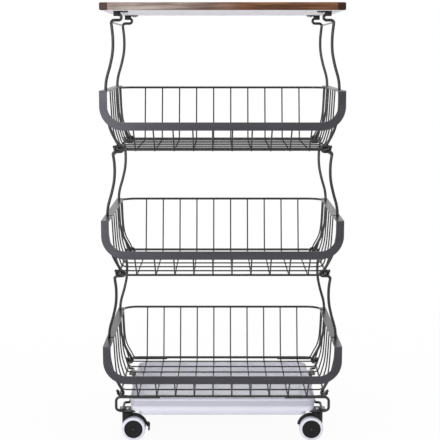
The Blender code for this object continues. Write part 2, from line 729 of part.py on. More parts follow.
def make_tray():
    """A thin open tray whose shoulder rests on the four caster plates."""
    seat = PLATE_TOP + GAP
    rim = LOWEST_FLOOR - THIN_WIRE / 2 - TRAY_TOP_GAP
    half_depth = (TRAY_FRONT + TRAY_REAR) / 2
    centre = (0, (TRAY_REAR - TRAY_FRONT) / 2)
    levels = (
        (TRAY_SHOULDER + TRAY_WALL, TRAY_KEEL_SETBACK + TRAY_WALL, seat - TRAY_KEEL),
        (TRAY_SHOULDER, TRAY_KEEL_SETBACK, seat),
        (TRAY_WALL_DRAFT, TRAY_WALL_DRAFT, seat),
        (0, 0, rim),
    )
    vertices = []
    for side_inset, end_inset, height in levels:
        half_width = TRAY_HALF_WIDTH - side_inset
        corner = TRAY_CORNER - end_inset / 2
        outline = rounded_rectangle(half_width, half_depth - end_inset, corner, 3, centre)
        vertices += [(x, y, height) for x, y in outline]
    count = len(vertices) // len(levels)
    faces = [tuple(reversed(range(count)))]
    for level in range(len(levels) - 1):
        for index in range(count):
            after = (index + 1) % count
            low = level * count
            high = low + count
            faces.append((low + index, low + after, high + after, high + index))
    tray = mesh_object("drip_tray", vertices, [], faces)
    wall = tray.modifiers.new("wall", "SOLIDIFY")
    wall.thickness = TRAY_WALL
    wall.offset = -1
    wall.use_even_offset = True
    shade(tray)
    return place(tray, TRAY)


def make_caster_plate(label, x, y):
    """A square plate under the foot wire, with the hole that takes the stem."""
    outline = rounded_rectangle(PLATE_SIZE / 2, PLATE_SIZE / 2, PLATE_CORNER, 2)
    plate = flat_plate("caster_plate_" + label, outline, PLATE_THICKNESS)
    plate.location = (x, y, (PLATE_TOP + PLATE_BOTTOM) / 2)
    hole = rod("stem_hole", (x, y, PLATE_TOP), STEM_RADIUS + GAP, PLATE_SIZE, sides=STEM_SIDES)
    return place(cut(plate, [hole]), STEEL)


def make_stem(label, swivel):
    """The pin that the hood turns on, with a collar under the plate and a riveted head."""
    seat = HOOD_TOP - STEM_SEAT_DEPTH + GAP
    collar_low = HOOD_TOP + GAP
    collar_high = collar_low + COLLAR_HEIGHT - GAP
    head_low = PLATE_TOP + GAP
    profile = [
        (0, head_low + STEM_HEAD_HEIGHT),
        (STEM_HEAD_RADIUS * 2 / 3, head_low + STEM_HEAD_HEIGHT),
        (STEM_HEAD_RADIUS, head_low + STEM_HEAD_HEIGHT / 2),
        (STEM_HEAD_RADIUS, head_low),
        (STEM_RADIUS, head_low),
        (STEM_RADIUS, collar_high),
        (STEM_COLLAR_RADIUS, collar_high),
        (STEM_COLLAR_RADIUS, collar_low),
        (STEM_RADIUS, collar_low),
        (STEM_RADIUS, seat),
        (0, seat),
    ]
    return place(turned("caster_stem_" + label, profile, (0, 0, 0), STEM_SIDES), PLATED, swivel)


def make_hood(label, swivel, inward, has_brake):
    """The caster's body: a round boss for the stem and a fender between the two wheels."""
    hub_x = inward * WHEEL_TRAIL
    outer = HOOD_BORE + HOOD_WALL
    cap = HOOD_TOP - WHEEL_RADIUS
    boss_middle = (-hub_x, 0, cap - BOSS_HEIGHT / 2)
    boss = rod("caster_hood_" + label, boss_middle, BOSS_RADIUS, BOSS_HEIGHT, sides=BOSS_SIDES)
    bpy.ops.object.transform_apply(location=True, rotation=False, scale=False)
    room_middle = (HOOD_WEB + WHEEL_PITCH) / 2 + GAP
    rooms = []
    for half in (-1, 1):
        middle = (0, half * room_middle, 0)
        rooms.append(rod("wheel_room", middle, HOOD_BORE, WHEEL_PITCH, "Y", HOOD_SIDES))
    cut(boss, rooms)
    heel_x = WHEEL_TRAIL + BOSS_RADIUS - WEB_HEEL_INSET
    heel_angle = math.degrees(math.acos(-heel_x / outer))
    outline = arc((0, 0), outer, HOOD_TIP_ANGLE, heel_angle, 9)
    outline.append((-heel_x, cap - BOSS_HEIGHT + WEB_HEEL_INSET))
    outline += arc((0, 0), HUB_RADIUS / 2, *WEB_FOOT_ANGLES, 4)
    outline.append(arc((0, 0), HOOD_BORE, HOOD_TIP_ANGLE, 0, 1)[0])
    extras = [flat_plate("hood_web", [(inward * x, z) for x, z in outline], HOOD_WEB)]
    stand_up(extras[0], 0)
    if has_brake:
        extras.append(make_lever_lug(inward))
    join(boss, extras)
    bore = rod("axle_bore", (0, 0, 0), AXLE_RADIUS + GAP, WHEEL_PITCH, "Y", AXLE_SIDES)
    seat_depth = 2 * STEM_SEAT_DEPTH
    seat = rod("stem_seat", (-hub_x, 0, cap), STEM_RADIUS + GAP, seat_depth, sides=STEM_SIDES)
    cutters = [bore, seat]
    if has_brake:
        pin_x, pin_z = lever_pivot(inward)
        pin_middle = (pin_x - hub_x, 0, pin_z - WHEEL_RADIUS)
        bore_radius = LEVER_PIN_RADIUS + GAP
        cutters.append(rod("lever_bore", pin_middle, bore_radius, WHEEL_PITCH, "Y", LEVER_PIN_SIDES))
    cut(boss, cutters)
    boss.location = (hub_x, 0, WHEEL_RADIUS)
    return place(boss, PLASTIC, swivel)


def lever_pivot(inward):
    """The lever's pin in the swivel's own frame."""
    angle = math.radians(LEVER_PIVOT_ANGLE)
    x = inward * (WHEEL_TRAIL + LEVER_PIVOT_REACH * math.cos(angle))
    return x, WHEEL_RADIUS + LEVER_PIVOT_REACH * math.sin(angle)


def make_lever_lug(inward):
    """The hood's lug that the lever's pin passes through."""
    angle = math.radians(LEVER_PIVOT_ANGLE)
    centre = (LEVER_PIVOT_REACH * math.cos(angle), LEVER_PIVOT_REACH * math.sin(angle))
    root = WHEEL_RADIUS + HOOD_GAP + HOOD_WALL / 2
    low = arc((0, 0), root, *LUG_ROOT_ANGLES, 2)
    cap = arc(centre, LEVER_BARREL_RADIUS, *LUG_CAP_ANGLES, 6)
    outline = [low[-1]] + cap + [low[0]]
    lug = flat_plate("lever_lug", [(inward * x, z) for x, z in outline], HOOD_WEB - 2 * WELD)
    return stand_up(lug, 0)


def make_lever(label, swivel, inward):
    """The brake lever: a hooked tab that straddles the hood's lug on its own pin."""
    pin_x, pin_z = lever_pivot(inward)
    barrel = LEVER_BARREL_RADIUS + GAP
    thick = LEVER_THICKNESS
    outline = arc((0, 0), barrel, *LEVER_BARREL_ANGLES, 4)
    outline += [(barrel + LEVER_OUT / 2, 0), (LEVER_OUT + thick / 2, -LEVER_DROP / 2)]
    outline += [(LEVER_OUT + thick / 2, -LEVER_DROP), (LEVER_OUT - thick / 2, -LEVER_DROP)]
    outline += [(LEVER_OUT - thick / 2, -LEVER_DROP / 2)]
    outline += [(barrel / 2, -barrel), (-barrel / 2, -barrel)]
    blade = flat_plate("brake_lever_" + label, [(inward * x, z) for x, z in outline], LEVER_WIDTH)
    stand_up(blade, 0)
    slot_reach = LEVER_BARREL_RADIUS + LEVER_THICKNESS / 2
    slot_half = HOOD_WEB / 2 + GAP
    far = (slot_reach, slot_half, slot_reach)
    near = tuple(-reach for reach in far)
    cut(blade, [box("lever_slot", near, far)])
    pin_length = (HOOD_WEB + LEVER_WIDTH) / 2 + GAP
    pin = rod("lever_pin", (0, 0, 0), LEVER_PIN_RADIUS, pin_length, "Y", LEVER_PIN_SIDES)
    join(blade, [pin])
    blade.location = (pin_x, 0, pin_z)
    return place(blade, PLASTIC, swivel)


def make_wheel(label, swivel, inward, half):
    """One of a caster's two wheels: a pale tyre on a dished black hub."""
    name = label + ("_outer" if half < 0 else "_inner")
    centre = (inward * WHEEL_TRAIL, half * WHEEL_PITCH / 2, WHEEL_RADIUS)
    flat_turn = math.pi / WHEEL_SIDES
    rim = WHEEL_RADIUS * FLAT_SHARE
    bed = HUB_RADIUS * FLAT_SHARE
    reach = WHEEL_WIDTH / 2
    tread = reach - TYRE_ROUNDING
    tyre_profile = [
        (bed, reach),
        (rim - TYRE_ROUNDING, reach),
        (rim, tread),
        (rim, -tread),
        (rim - TYRE_ROUNDING, -reach),
        (bed, -reach),
    ]
    tyre = turned("tyre_" + name, tyre_profile, centre, WHEEL_SIDES, "Y", True, flat_turn)
    face = bed - GAP
    bore = AXLE_RADIUS + GAP
    hub_profile = [(bore, reach), (face, reach), (face, -reach), (bore, -reach)]
    hub = turned("hub_" + name, hub_profile, centre, WHEEL_SIDES, "Y", True, flat_turn)
    for piece in (tyre, hub):
        shade(piece)
    return place(tyre, TYRE, swivel), place(hub, PLASTIC, swivel)


def make_axle(label, swivel, inward):
    length = WHEEL_PITCH + WHEEL_WIDTH + AXLE_OVERHANG
    centre = (inward * WHEEL_TRAIL, 0, WHEEL_RADIUS)
    return place(rod("axle_" + label, centre, AXLE_RADIUS, length, "Y", AXLE_SIDES), PLATED, swivel)


def make_caster(label, side, end, has_brake):
    """One caster about its own swivel axis."""
    x = side * STEM_SPREAD_X
    y = end * STEM_SPREAD_Y
    swivel = bpy.data.objects.new("swivel_axis_" + label, None)
    swivel.location = (x, y, 0)
    swivel.parent = ORIGIN
    RACK.objects.link(swivel)
    inward = -side
    make_caster_plate(label, x, y)
    make_stem(label, swivel)
    make_hood(label, swivel, inward, has_brake)
    make_axle(label, swivel, inward)
    for half in (-1, 1):
        make_wheel(label, swivel, inward, half)
    if has_brake:
        make_lever(label, swivel, inward)


def build():
    basket = shape_basket()
    band = shape_band()
    supports = {"left": shape_leg(-1, 0), "right": shape_leg(1, 0)}
    tall_supports = {"left": shape_leg(-1, TOP_RISE), "right": shape_leg(1, TOP_RISE)}
    for index, tier in enumerate(TIERS):
        floor = LOWEST_FLOOR + index * TIER_PITCH
        place(repeated(basket, tier + "_basket", floor), STEEL)
        place(repeated(band, tier + "_front_band", floor), BAND)
        pair = tall_supports if tier == TIERS[-1] else supports
        for label, support in pair.items():
            place(repeated(support, f"{tier}_support_{label}", floor + RING_LIFT), STEEL)
    for pattern in (basket, band, *supports.values(), *tall_supports.values()):
        bpy.data.objects.remove(pattern)
    make_board()
    for spot in clip_spots():
        make_clip(spot)
        make_screw(spot)
    make_foot_frame(-1, "left")
    make_foot_frame(1, "right")
    make_tray()
    for end, depth_label in ((-1, "front"), (1, "rear")):
        for side, side_label in ((-1, "left"), (1, "right")):
            make_caster(f"{depth_label}_{side_label}", side, end, side == end)


build()
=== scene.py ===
"""Looks of the rolling kitchen rack: round enamelled wires, steel bands, board, tray and casters."""

import math

import bpy
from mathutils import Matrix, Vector


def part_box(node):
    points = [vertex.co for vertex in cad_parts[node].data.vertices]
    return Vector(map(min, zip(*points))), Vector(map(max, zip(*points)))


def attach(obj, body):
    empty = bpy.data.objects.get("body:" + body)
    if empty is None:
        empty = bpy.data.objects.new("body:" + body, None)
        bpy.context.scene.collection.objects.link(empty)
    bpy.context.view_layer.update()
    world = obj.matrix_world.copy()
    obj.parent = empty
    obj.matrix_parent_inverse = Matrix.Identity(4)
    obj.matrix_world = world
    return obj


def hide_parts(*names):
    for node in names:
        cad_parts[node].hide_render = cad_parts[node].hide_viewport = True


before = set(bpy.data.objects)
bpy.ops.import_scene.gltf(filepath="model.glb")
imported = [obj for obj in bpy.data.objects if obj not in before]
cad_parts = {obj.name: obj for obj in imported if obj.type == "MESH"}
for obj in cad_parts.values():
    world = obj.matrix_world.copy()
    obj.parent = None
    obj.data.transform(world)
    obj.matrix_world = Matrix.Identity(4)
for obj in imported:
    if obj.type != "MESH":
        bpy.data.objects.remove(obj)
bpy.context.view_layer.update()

TIERS = ("lower", "middle", "upper")
SIDES = (("left", -1), ("right", 1))
ENDS = (("front", -1), ("rear", 1))
CORNERS = [(f"{at_end}_{at_side}", end, side) for at_end, end in ENDS for at_side, side in SIDES]


def middle_of(name):
    low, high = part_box(name)
    return (low + high) / 2


# Places read from the frame
PLATE_FRONT = middle_of("caster_plate_front_left")
PLATE_REAR = middle_of("caster_plate_rear_left")
STACK_Y = (PLATE_FRONT.y + PLATE_REAR.y) / 2

# Clearances between pieces
GAP = 0.0003

# Thin wires of the baskets
THIN_WIRE = 0.0024
ENAMEL = 0.0003
RING_WIRE = 0.004
RIM_WIRE = 0.0045
RING_HALF_WIDTH = 0.190
RING_HALF_DEPTH = 0.1365
RING_LIFT = 0.0026
RING_CORNER = 0.018
WELD_DEPTH = 0.0003
RING_TOUCH = 0.0027
LENGTHWISE_COUNT = 10
LENGTHWISE_SPAN = 0.312
LENGTHWISE_SPACING = LENGTHWISE_SPAN / (LENGTHWISE_COUNT - 1)
LENGTHWISE_BEND = 0.006
CROSS_COUNT = 6
CROSS_SPACING = 0.0396
CROSS_SHIFT = 0.0065
REAR_CROSS_Y = 0.132
CROSS_BEND = 0.012
SIDE_KNEE = (0.010, 0.0425)
SIDE_FLARE = 0.014
RIM_HEIGHT = 0.1045
RIM_HALF_WIDTH = 0.206
RIM_CORNER = 0.030
RIM_CORNER_SHARE = 0.98
RIM_REAR = 0.161
WIRE_LANDING = 0.012
MERGE_REACH = THIN_WIRE / 1000
WIRE_MERGE_SHARE = 1 / 400

# Front bands
BAND_WIDTH = 0.0144
BAND_THICKNESS = 0.002
BAND_BOTTOM = 0.040
BAND_HALF_WIDTH = 0.2145
BAND_CORNER = 0.042
BAND_FRONT = 0.185
BAND_FOLD = 0.0022
STRIP_WIDTH = 0.014
STRIP_TOP = 0.10905
STRIP_REAR = 0.1365
NOTCH_WIDTH = 0.008
NOTCH_WALL = 0.0025

# Supports
SUPPORT_WIRE = 0.005
CROSSBAR_WIRE = 0.003
TIER_PITCH = 0.228
EYE_SPAN = 0.113
HOOK_SPAN = 0.122
BULGE = 0.0195
BULGE_SHARES = (0.51, 0.82, 1.0, 1.0, 0.9, 0.54, 0.29, 0.25, 0.40)
HEIGHT_SHARES = (0.14, 0.232, 0.325, 0.465, 0.557, 0.667, 0.772, 0.882, 0.95)
EYE_RADIUS = 0.005
EYE_START_ANGLE = 390
SHOULDER_ANGLE = 20
HOOK_OPENING = 0.0096
HOOK_INSET = 0.006
HOOK_ARM = 0.009
HOOK_LOWER = 0.2258
CROSSBAR_DROP = 0.0035
TOP_RISE = 0.0057
TIP_REACH = 0.0075
TIP_RISE = 0.0035

# Foot frames
FOOT_WIRE = 0.005
FOOT_HALF_WIDTH = 0.196
FOOT_INNER_END = 0.115
FOOT_PLATE_SPAN = 0.1845
FOOT_RUNNER = 0.1746
FOOT_LOW = 0.0591
FOOT_CORNER = 0.008
FOOT_LOWER_CORNER = 0.006
FOOT_TURN = 0.0055
FOOT_TURN_SHARE = 0.99
FOOT_JOG_BEND = 0.0049
FOOT_JOG_Y = 0.09205
FOOT_FRONT = (0.1413, 0.0846)
FOOT_REAR = (0.1399, 0.0812)

# Board, clips and tray
BOARD_CORNER = 0.003
BOARD_EDGE = 0.001
BOARD_DOWN = -0.9
BOARD_TONE_REACH = 0.2
BOARD_END_TONE = 0.200
CLIP_LENGTH = 0.012
CLIP_FLANGE = 0.002
CLIP_EDGE = 0.0003
SCREW_HEAD = 0.0034
SCREW_HEAD_HEIGHT = 0.0015
RECESS = 0.0016
TRAY_CORNER = 0.016
TRAY_WALL = 0.0016
TRAY_SHOULDER = 0.015
TRAY_SETBACK = 0.005
TRAY_KEEL = 0.0086
# Heights between which the tray's painted shade and painted light run, on its front half
TRAY_PAINTED_SHADE_LOW = 0.048
TRAY_PAINTED_SHADE_HIGH = 0.080

# Casters
WHEEL_RADIUS = 0.022
WHEEL_WIDTH = 0.0135
WHEEL_PITCH = 0.021
TYRE_DEPTH = 0.0048
WHEEL_TRAIL = 0.0115
TYRE_ROUND = 0.0028
HUB_DISH = 0.0011
HUB_RIM = 0.0022
HUB_SEAT = 0.0002
AXLE_CAP = 0.0042
HOOD_WALL = 0.0027
HOOD_WEB = 0.006
HOOD_TIP_ANGLE = 10
HOOD_INNER = 0.0232
HOOD_EDGE = 0.0006
BOSS_RADIUS = 0.0103
BOSS_HEIGHT = 0.0225
BOSS_EDGE = 0.0012
STEM_RADIUS = 0.0035
STEM_HEAD = 0.0042
PLATE_CORNER = 0.003
LEVER_REACH = 0.0262
LEVER_ANGLE = 11
LEVER_BARREL = 0.003
LEVER_WIDTH = 0.010
LEVER_DROP = 0.0117
LEVER_OUT = 0.0022
LEVER_THICKNESS = 0.003
LUG_HALF_ANGLE = 9

# Angles up to which faces shade smoothly
SMOOTH_WIRE = 50
SMOOTH_MOULDED = 40
SMOOTH_HOOD = 35
SMOOTH_CRISP = 30

# Depths of the surfaces' grain, and how far light goes into the tray
PEEL_DEPTH = 0.0002
ROLLED_DEPTH = 0.0001
WOOD_DEPTH = 0.0005
SPECK_DEPTH = 0.0002
MOULD_DEPTH = 0.0002
TRAY_SCATTER = 0.004

# Where a drift leaves its dark tone and reaches its light one
TONE_START = 0.3
TONE_END = 0.7

# Colours of the board, and the tray's painted light and shade: places along a ramp and what is there
WOOD_PALE = ((0.30, (0.19, 0.130, 0.110)), (0.44, (0.36, 0.275, 0.25)), (0.60, (0.47, 0.385, 0.355)))
WOOD_WARM = ((0.34, (0.060, 0.022, 0.008)), (0.50, (0.155, 0.060, 0.024)), (0.66, (0.30, 0.13, 0.062)))
WOOD_STREAKS = ((0.38, (0.45, 0.40, 0.38)), (0.55, (1.0, 1.0, 1.0)))
WOOD_STREAK_SHARE = 0.8
WOOD_PATCH_SHARE = 0.7
WOOD_WARM_FROM = 0.60
WOOD_WARM_TO = 1.00
WOOD_END = (0.20, 0.13, 0.10, 1)
# Painted shade on the tray's keel, upper wall and rim, with a paler painted light band between them
TRAY_KEEL_PAINTED_SHADE = (0.72, 0.74, 0.76)
TRAY_PAINTED_LIGHT_BAND = (0.9, 0.9, 0.92)
TRAY_WALL_PAINTED_SHADE = (0.58, 0.57, 0.61)
TRAY_RIM_PAINTED_SHADE = (0.78, 0.78, 0.80)
TRAY_PAINTED_SHADING = (
    (0.0, TRAY_KEEL_PAINTED_SHADE),
    (0.25, TRAY_PAINTED_LIGHT_BAND),
    (0.48, TRAY_PAINTED_LIGHT_BAND),
    (0.62, TRAY_WALL_PAINTED_SHADE),
    (0.86, TRAY_WALL_PAINTED_SHADE),
    (0.93, TRAY_RIM_PAINTED_SHADE),
)
WHITE = (1, 1, 1, 1)

# Sockets of a colour Mix node
MIX_UNDER = 6
MIX_OVER = 7
MIX_RESULT = 2

# Floor, light and camera
FLOOR_SIZE = 12.0
FLOOR_DROP = 0.0002
FLOOR_SHADOW_REACH = 1.2
FLOOR_SHADOW_SHARE = 0.94
WORLD_LEVEL = 0.58
LAMPS = (
    ("key", (-1.0, -2.1, 0.45), (-0.1, 0, 0.4), (0.9, 1.7), 27),
    ("fill", (2.6, 0.2, 1.5), (0, 0, 0.4), (1.2, 1.6), 8),
    ("top", (0, 0.2, 2.6), (0, 0, 0.4), (1.8, 1.8), 26),
)
CAMERA_PLACE = (-0.0045, -2.166, 0.7134)
CAMERA_TILT = 81.6
CAMERA_LENS = 93.0
CAMERA_SENSOR = 36.0


def deselect():
    if bpy.context.object and bpy.context.object.mode != "OBJECT":
        bpy.ops.object.mode_set(mode="OBJECT")
    bpy.ops.object.select_all(action="DESELECT")


def edit():
    bpy.ops.object.mode_set(mode="EDIT")
    bpy.ops.mesh.select_mode(type="VERT")
    bpy.ops.mesh.select_all(action="SELECT")


def finish_edit():
    bpy.ops.object.mode_set(mode="OBJECT")


def settle(piece):
    """Puts the piece's place into its mesh, so that its object sits at the origin."""
    deselect()
    piece.select_set(True)
    bpy.context.view_layer.objects.active = piece
    bpy.ops.object.transform_apply(location=True, rotation=True, scale=True)
    return piece


def smooth(piece, angle):
    deselect()
    piece.select_set(True)
    bpy.context.view_layer.objects.active = piece
    bpy.ops.object.shade_smooth_by_angle(angle=math.radians(angle))
    return piece


def apply(piece, kind, **values):
    """Adds a modifier, sets its values and applies it."""
    deselect()
    piece.select_set(True)
    bpy.context.view_layer.objects.active = piece
    step = piece.modifiers.new(kind.lower(), kind)
    for name, value in values.items():
        setattr(step, name, value)
    bpy.ops.object.modifier_apply(modifier=step.name)
    return piece


def round_edges(piece, width, segments=3, angle=40):
    return apply(
        piece, "BEVEL", width=width, segments=segments,
        limit_method="ANGLE", angle_limit=math.radians(angle), use_clamp_overlap=True,
    )


def finished(piece, name, body, finish, nodes):
    """Names a piece, gives it its finish, and sets what it rides on and stands for."""
    piece.name = name
    piece.data.name = name
    piece.data.materials.clear()
    piece.data.materials.append(finish)
    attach(piece, body)
    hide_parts(*nodes)
    return piece


def arc(centre, radius, start, end, steps):
    """Points on a circle in a plane, angles in degrees."""
    turns = [math.radians(start + (end - start) * i / steps) for i in range(steps + 1)]
    return [(centre[0] + radius * math.cos(t), centre[1] + radius * math.sin(t)) for t in turns]


def rounded_rectangle(half_width, half_depth, radius, steps):
    points = []
    for index, (sx, sy) in enumerate(((1, 1), (-1, 1), (-1, -1), (1, -1))):
        corner = (sx * (half_width - radius), sy * (half_depth - radius))
        points += arc(corner, radius, 90 * index, 90 * index + 90, steps)
    return points


def bent_wire(points, diameter, closed=False, sides=3):
    """A round wire through the points, made a mesh with closed, rounded-off ends."""
    deselect()
    curve = bpy.data.curves.new("wire", "CURVE")
    curve.dimensions = "3D"
    curve.twist_mode = "MINIMUM"
    curve.bevel_depth = diameter / 2
    curve.bevel_resolution = sides
    curve.use_fill_caps = not closed
    spline = curve.splines.new("POLY")
    spline.points.add(len(points) - 1)
    for spot, point in zip(spline.points, points):
        spot.co = (*point, 1)
    spline.use_cyclic_u = closed
    wire = bpy.data.objects.new("wire", curve)
    bpy.context.scene.collection.objects.link(wire)
    wire.select_set(True)
    bpy.context.view_layer.objects.active = wire
    bpy.ops.object.convert(target="MESH")
    edit()
    bpy.ops.mesh.remove_doubles(threshold=diameter * WIRE_MERGE_SHARE)
    finish_edit()
    return wire


def rounded_path(corners, steps=6):
    """A path through corner points, each given as a place and the radius of its bend."""
    points = []
    last = len(corners) - 1
    for index, (place, radius) in enumerate(corners):
        here = Vector(place)
        if radius == 0 or index in (0, last):
            points.append(here)
            continue
        back = (Vector(corners[index - 1][0]) - here).normalized()
        ahead = (Vector(corners[index + 1][0]) - here).normalized()
        half = back.angle(ahead) / 2
        reach = radius / math.tan(half)
        centre = here + (back + ahead).normalized() * (radius / math.sin(half))
        start = here + back * reach - centre
        end = here + ahead * reach - centre
        span = start.angle(end)
        for i in range(steps + 1):
            share = i / steps
            turned = start * math.sin((1 - share) * span) + end * math.sin(share * span)
            points.append(centre + turned / math.sin(span))
    return points


def smooth_path(points, steps=5):
    """A path that runs evenly through all the points."""
    spots = [Vector(p) for p in points]
    spots = [spots[0] * 2 - spots[1]] + spots + [spots[-1] * 2 - spots[-2]]
    made = []
    for i in range(1, len(spots) - 2):
        before, here, after, beyond = spots[i - 1 : i + 3]
        for step in range(steps):
            t = step / steps
            bend = here * 2 + (after - before) * t
            bend += (before * 2 - here * 5 + after * 4 - beyond) * t**2
            bend += (here * 3 - before - after * 3 + beyond) * t**3
            made.append(bend / 2)
    made.append(spots[-2])
    return made


def joined(pieces):
    deselect()
    for piece in pieces:
        piece.select_set(True)
    bpy.context.view_layer.objects.active = pieces[0]
    bpy.ops.object.join()
    return pieces[0]


def drawn(points, closed=False):
    """A line through the points, drawn by extruding one vertex from place to place."""
    deselect()
    bpy.ops.mesh.primitive_plane_add(size=WHEEL_RADIUS, location=(0, 0, 0))
    piece = bpy.context.object
    edit()
    bpy.ops.mesh.merge(type="CENTER")
    bpy.ops.mesh.select_all(action="SELECT")
    bpy.ops.transform.translate(value=points[0])
    here = Vector(points[0])
    for point in points[1:]:
        step = Vector(point) - here
        bpy.ops.mesh.extrude_region_move(TRANSFORM_OT_translate={"value": step})
        here = Vector(point)
    if closed:
        finish_edit()
        piece.data.vertices[0].select = True
        edit_keep_selection()
        bpy.ops.mesh.edge_face_add()
    finish_edit()
    return piece


def edit_keep_selection():
    bpy.ops.object.mode_set(mode="EDIT")
    bpy.ops.mesh.select_mode(type="VERT")


def close_mesh():
    bpy.ops.mesh.select_all(action="SELECT")
    bpy.ops.mesh.remove_doubles(threshold=MERGE_REACH)
    bpy.ops.mesh.normals_make_consistent(inside=False)


def slab(points, along):
    """A flat outline filled and extruded by the vector along."""
    piece = drawn(points, closed=True)
    edit()
    bpy.ops.mesh.edge_face_add()
    bpy.ops.mesh.extrude_region_move(TRANSFORM_OT_translate={"value": along})
    close_mesh()
    finish_edit()
    return piece


def lathed(profile, centre, axis, steps=64, closed=False):
    """A profile of radius and height spun about an axis through the centre."""
    side = Vector((1, 0, 0))
    middle = Vector(centre)
    ahead = Vector(axis)
    points = [middle + side * radius + ahead * height for radius, height in profile]
    piece = drawn(points, closed)
    edit()
    bpy.ops.mesh.spin(steps=steps, angle=math.tau, center=middle, axis=ahead)
    close_mesh()
    finish_edit()
    return piece


# Materials


def new_material(name, colour, roughness, metallic=0.0):
    made = bpy.data.materials.new(name)
    made.use_nodes = True
    shader = made.node_tree.nodes["Principled BSDF"]
    shader.inputs["Base Color"].default_value = (*colour, 1)
    shader.inputs["Roughness"].default_value = roughness
    shader.inputs["Metallic"].default_value = metallic
    return made, made.node_tree, shader


def node(tree, kind, **values):
    made = tree.nodes.new(kind)
    for name, value in values.items():
        if name in made.inputs:
            made.inputs[name].default_value = value
        else:
            setattr(made, name, value)
    return made


def feed(tree, source, socket):
    """Links source to an input, or sets it there where it is a plain value."""
    if isinstance(source, bpy.types.NodeSocket):
        tree.links.new(source, socket)
    else:
        socket.default_value = source


def place_of(tree, scale):
    """Object coordinates stretched by a scale along each axis."""
    where = node(tree, "ShaderNodeTexCoord")
    mapping = node(tree, "ShaderNodeMapping", Scale=scale)
    tree.links.new(where.outputs["Object"], mapping.inputs["Vector"])
    return mapping.outputs["Vector"]


def axes_of(tree):
    """The three Object coordinates, each by itself."""
    where = node(tree, "ShaderNodeTexCoord")
    parts = node(tree, "ShaderNodeSeparateXYZ")
    tree.links.new(where.outputs["Object"], parts.inputs["Vector"])
    return parts.outputs


def noise(tree, scale, detail=3.0, stretch=(1, 1, 1), rough=0.5):
    made = node(tree, "ShaderNodeTexNoise", Scale=scale, Detail=detail, Roughness=rough)
    tree.links.new(place_of(tree, stretch), made.inputs["Vector"])
    return made.outputs["Fac"]


def ramp(tree, source, stops):
    """A colour ramp fed by source: stops are places and colours."""
    made = node(tree, "ShaderNodeValToRGB")
    elements = made.color_ramp.elements
    while len(elements) < len(stops):
        elements.new(0.5)
    for element, (place, colour) in zip(elements, stops):
        element.position = place
        element.color = (*colour, 1)
    tree.links.new(source, made.inputs["Fac"])
    return made.outputs["Color"]


def drifting(tree, source, dark, light):
    """A colour that drifts between two tones."""
    return ramp(tree, source, ((TONE_START, dark), (TONE_END, light)))


def spread(tree, source, low, high, start=0, end=1):
    """A value that goes from low to high as source goes from start to end."""
    made = node(tree, "ShaderNodeMapRange")
    for name, value in (("From Min", start), ("From Max", end), ("To Min", low), ("To Max", high)):
        made.inputs[name].default_value = value
    tree.links.new(source, made.inputs["Value"])
    return made.outputs["Result"]


def calculated(tree, operation, *sources):
    """The result of a Math node on sockets or plain values."""
    made = node(tree, "ShaderNodeMath", operation=operation)
    for source, socket in zip(sources, made.inputs):
        feed(tree, source, socket)
    return made.outputs["Value"]


def mixed(tree, factor, under, over, blend="MIX"):
    """One colour laid over another, each a socket or a plain colour."""
    made = node(tree, "ShaderNodeMix", data_type="RGBA", blend_type=blend)
    feed(tree, factor, made.inputs["Factor"])
    feed(tree, under, made.inputs[MIX_UNDER])
    feed(tree, over, made.inputs[MIX_OVER])
    return made.outputs[MIX_RESULT]


def bump(tree, shader, source, strength, distance):
    made = node(tree, "ShaderNodeBump", Strength=strength, Distance=distance)
    tree.links.new(source, made.inputs["Height"])
    tree.links.new(made.outputs["Normal"], shader.inputs["Normal"])
    return made


def enamel(name, dark, light, gloss, texture_scale):
    """Baked enamel on steel: slight colour drift, orange peel and uneven gloss."""
    made, tree, shader = new_material(name, dark, gloss)
    drift = noise(tree, 35.0, 2.0)
    tree.links.new(drifting(tree, drift, dark, light), shader.inputs["Base Color"])
    peel = noise(tree, texture_scale, 2.0)
    tree.links.new(spread(tree, peel, gloss - 0.05, gloss + 0.08), shader.inputs["Roughness"])
    bump(tree, shader, peel, 0.12, PEEL_DEPTH)
    return made


def band_steel():
    """Dark satin strip steel with the lengthwise streaks of rolling."""
    made, tree, shader = new_material("band_gunmetal", (0.07, 0.07, 0.08), 0.3, 1.0)
    rolled = noise(tree, 60.0, 4.0, (0.15, 1.0, 1.0))
    base = drifting(tree, rolled, (0.062, 0.061, 0.070), (0.075, 0.074, 0.085))
    tree.links.new(base, shader.inputs["Base Color"])
    grain = noise(tree, 300.0, 2.0)
    tree.links.new(spread(tree, grain, 0.29, 0.33), shader.inputs["Roughness"])
    bump(tree, shader, grain, 0.04, ROLLED_DEPTH)
    return made


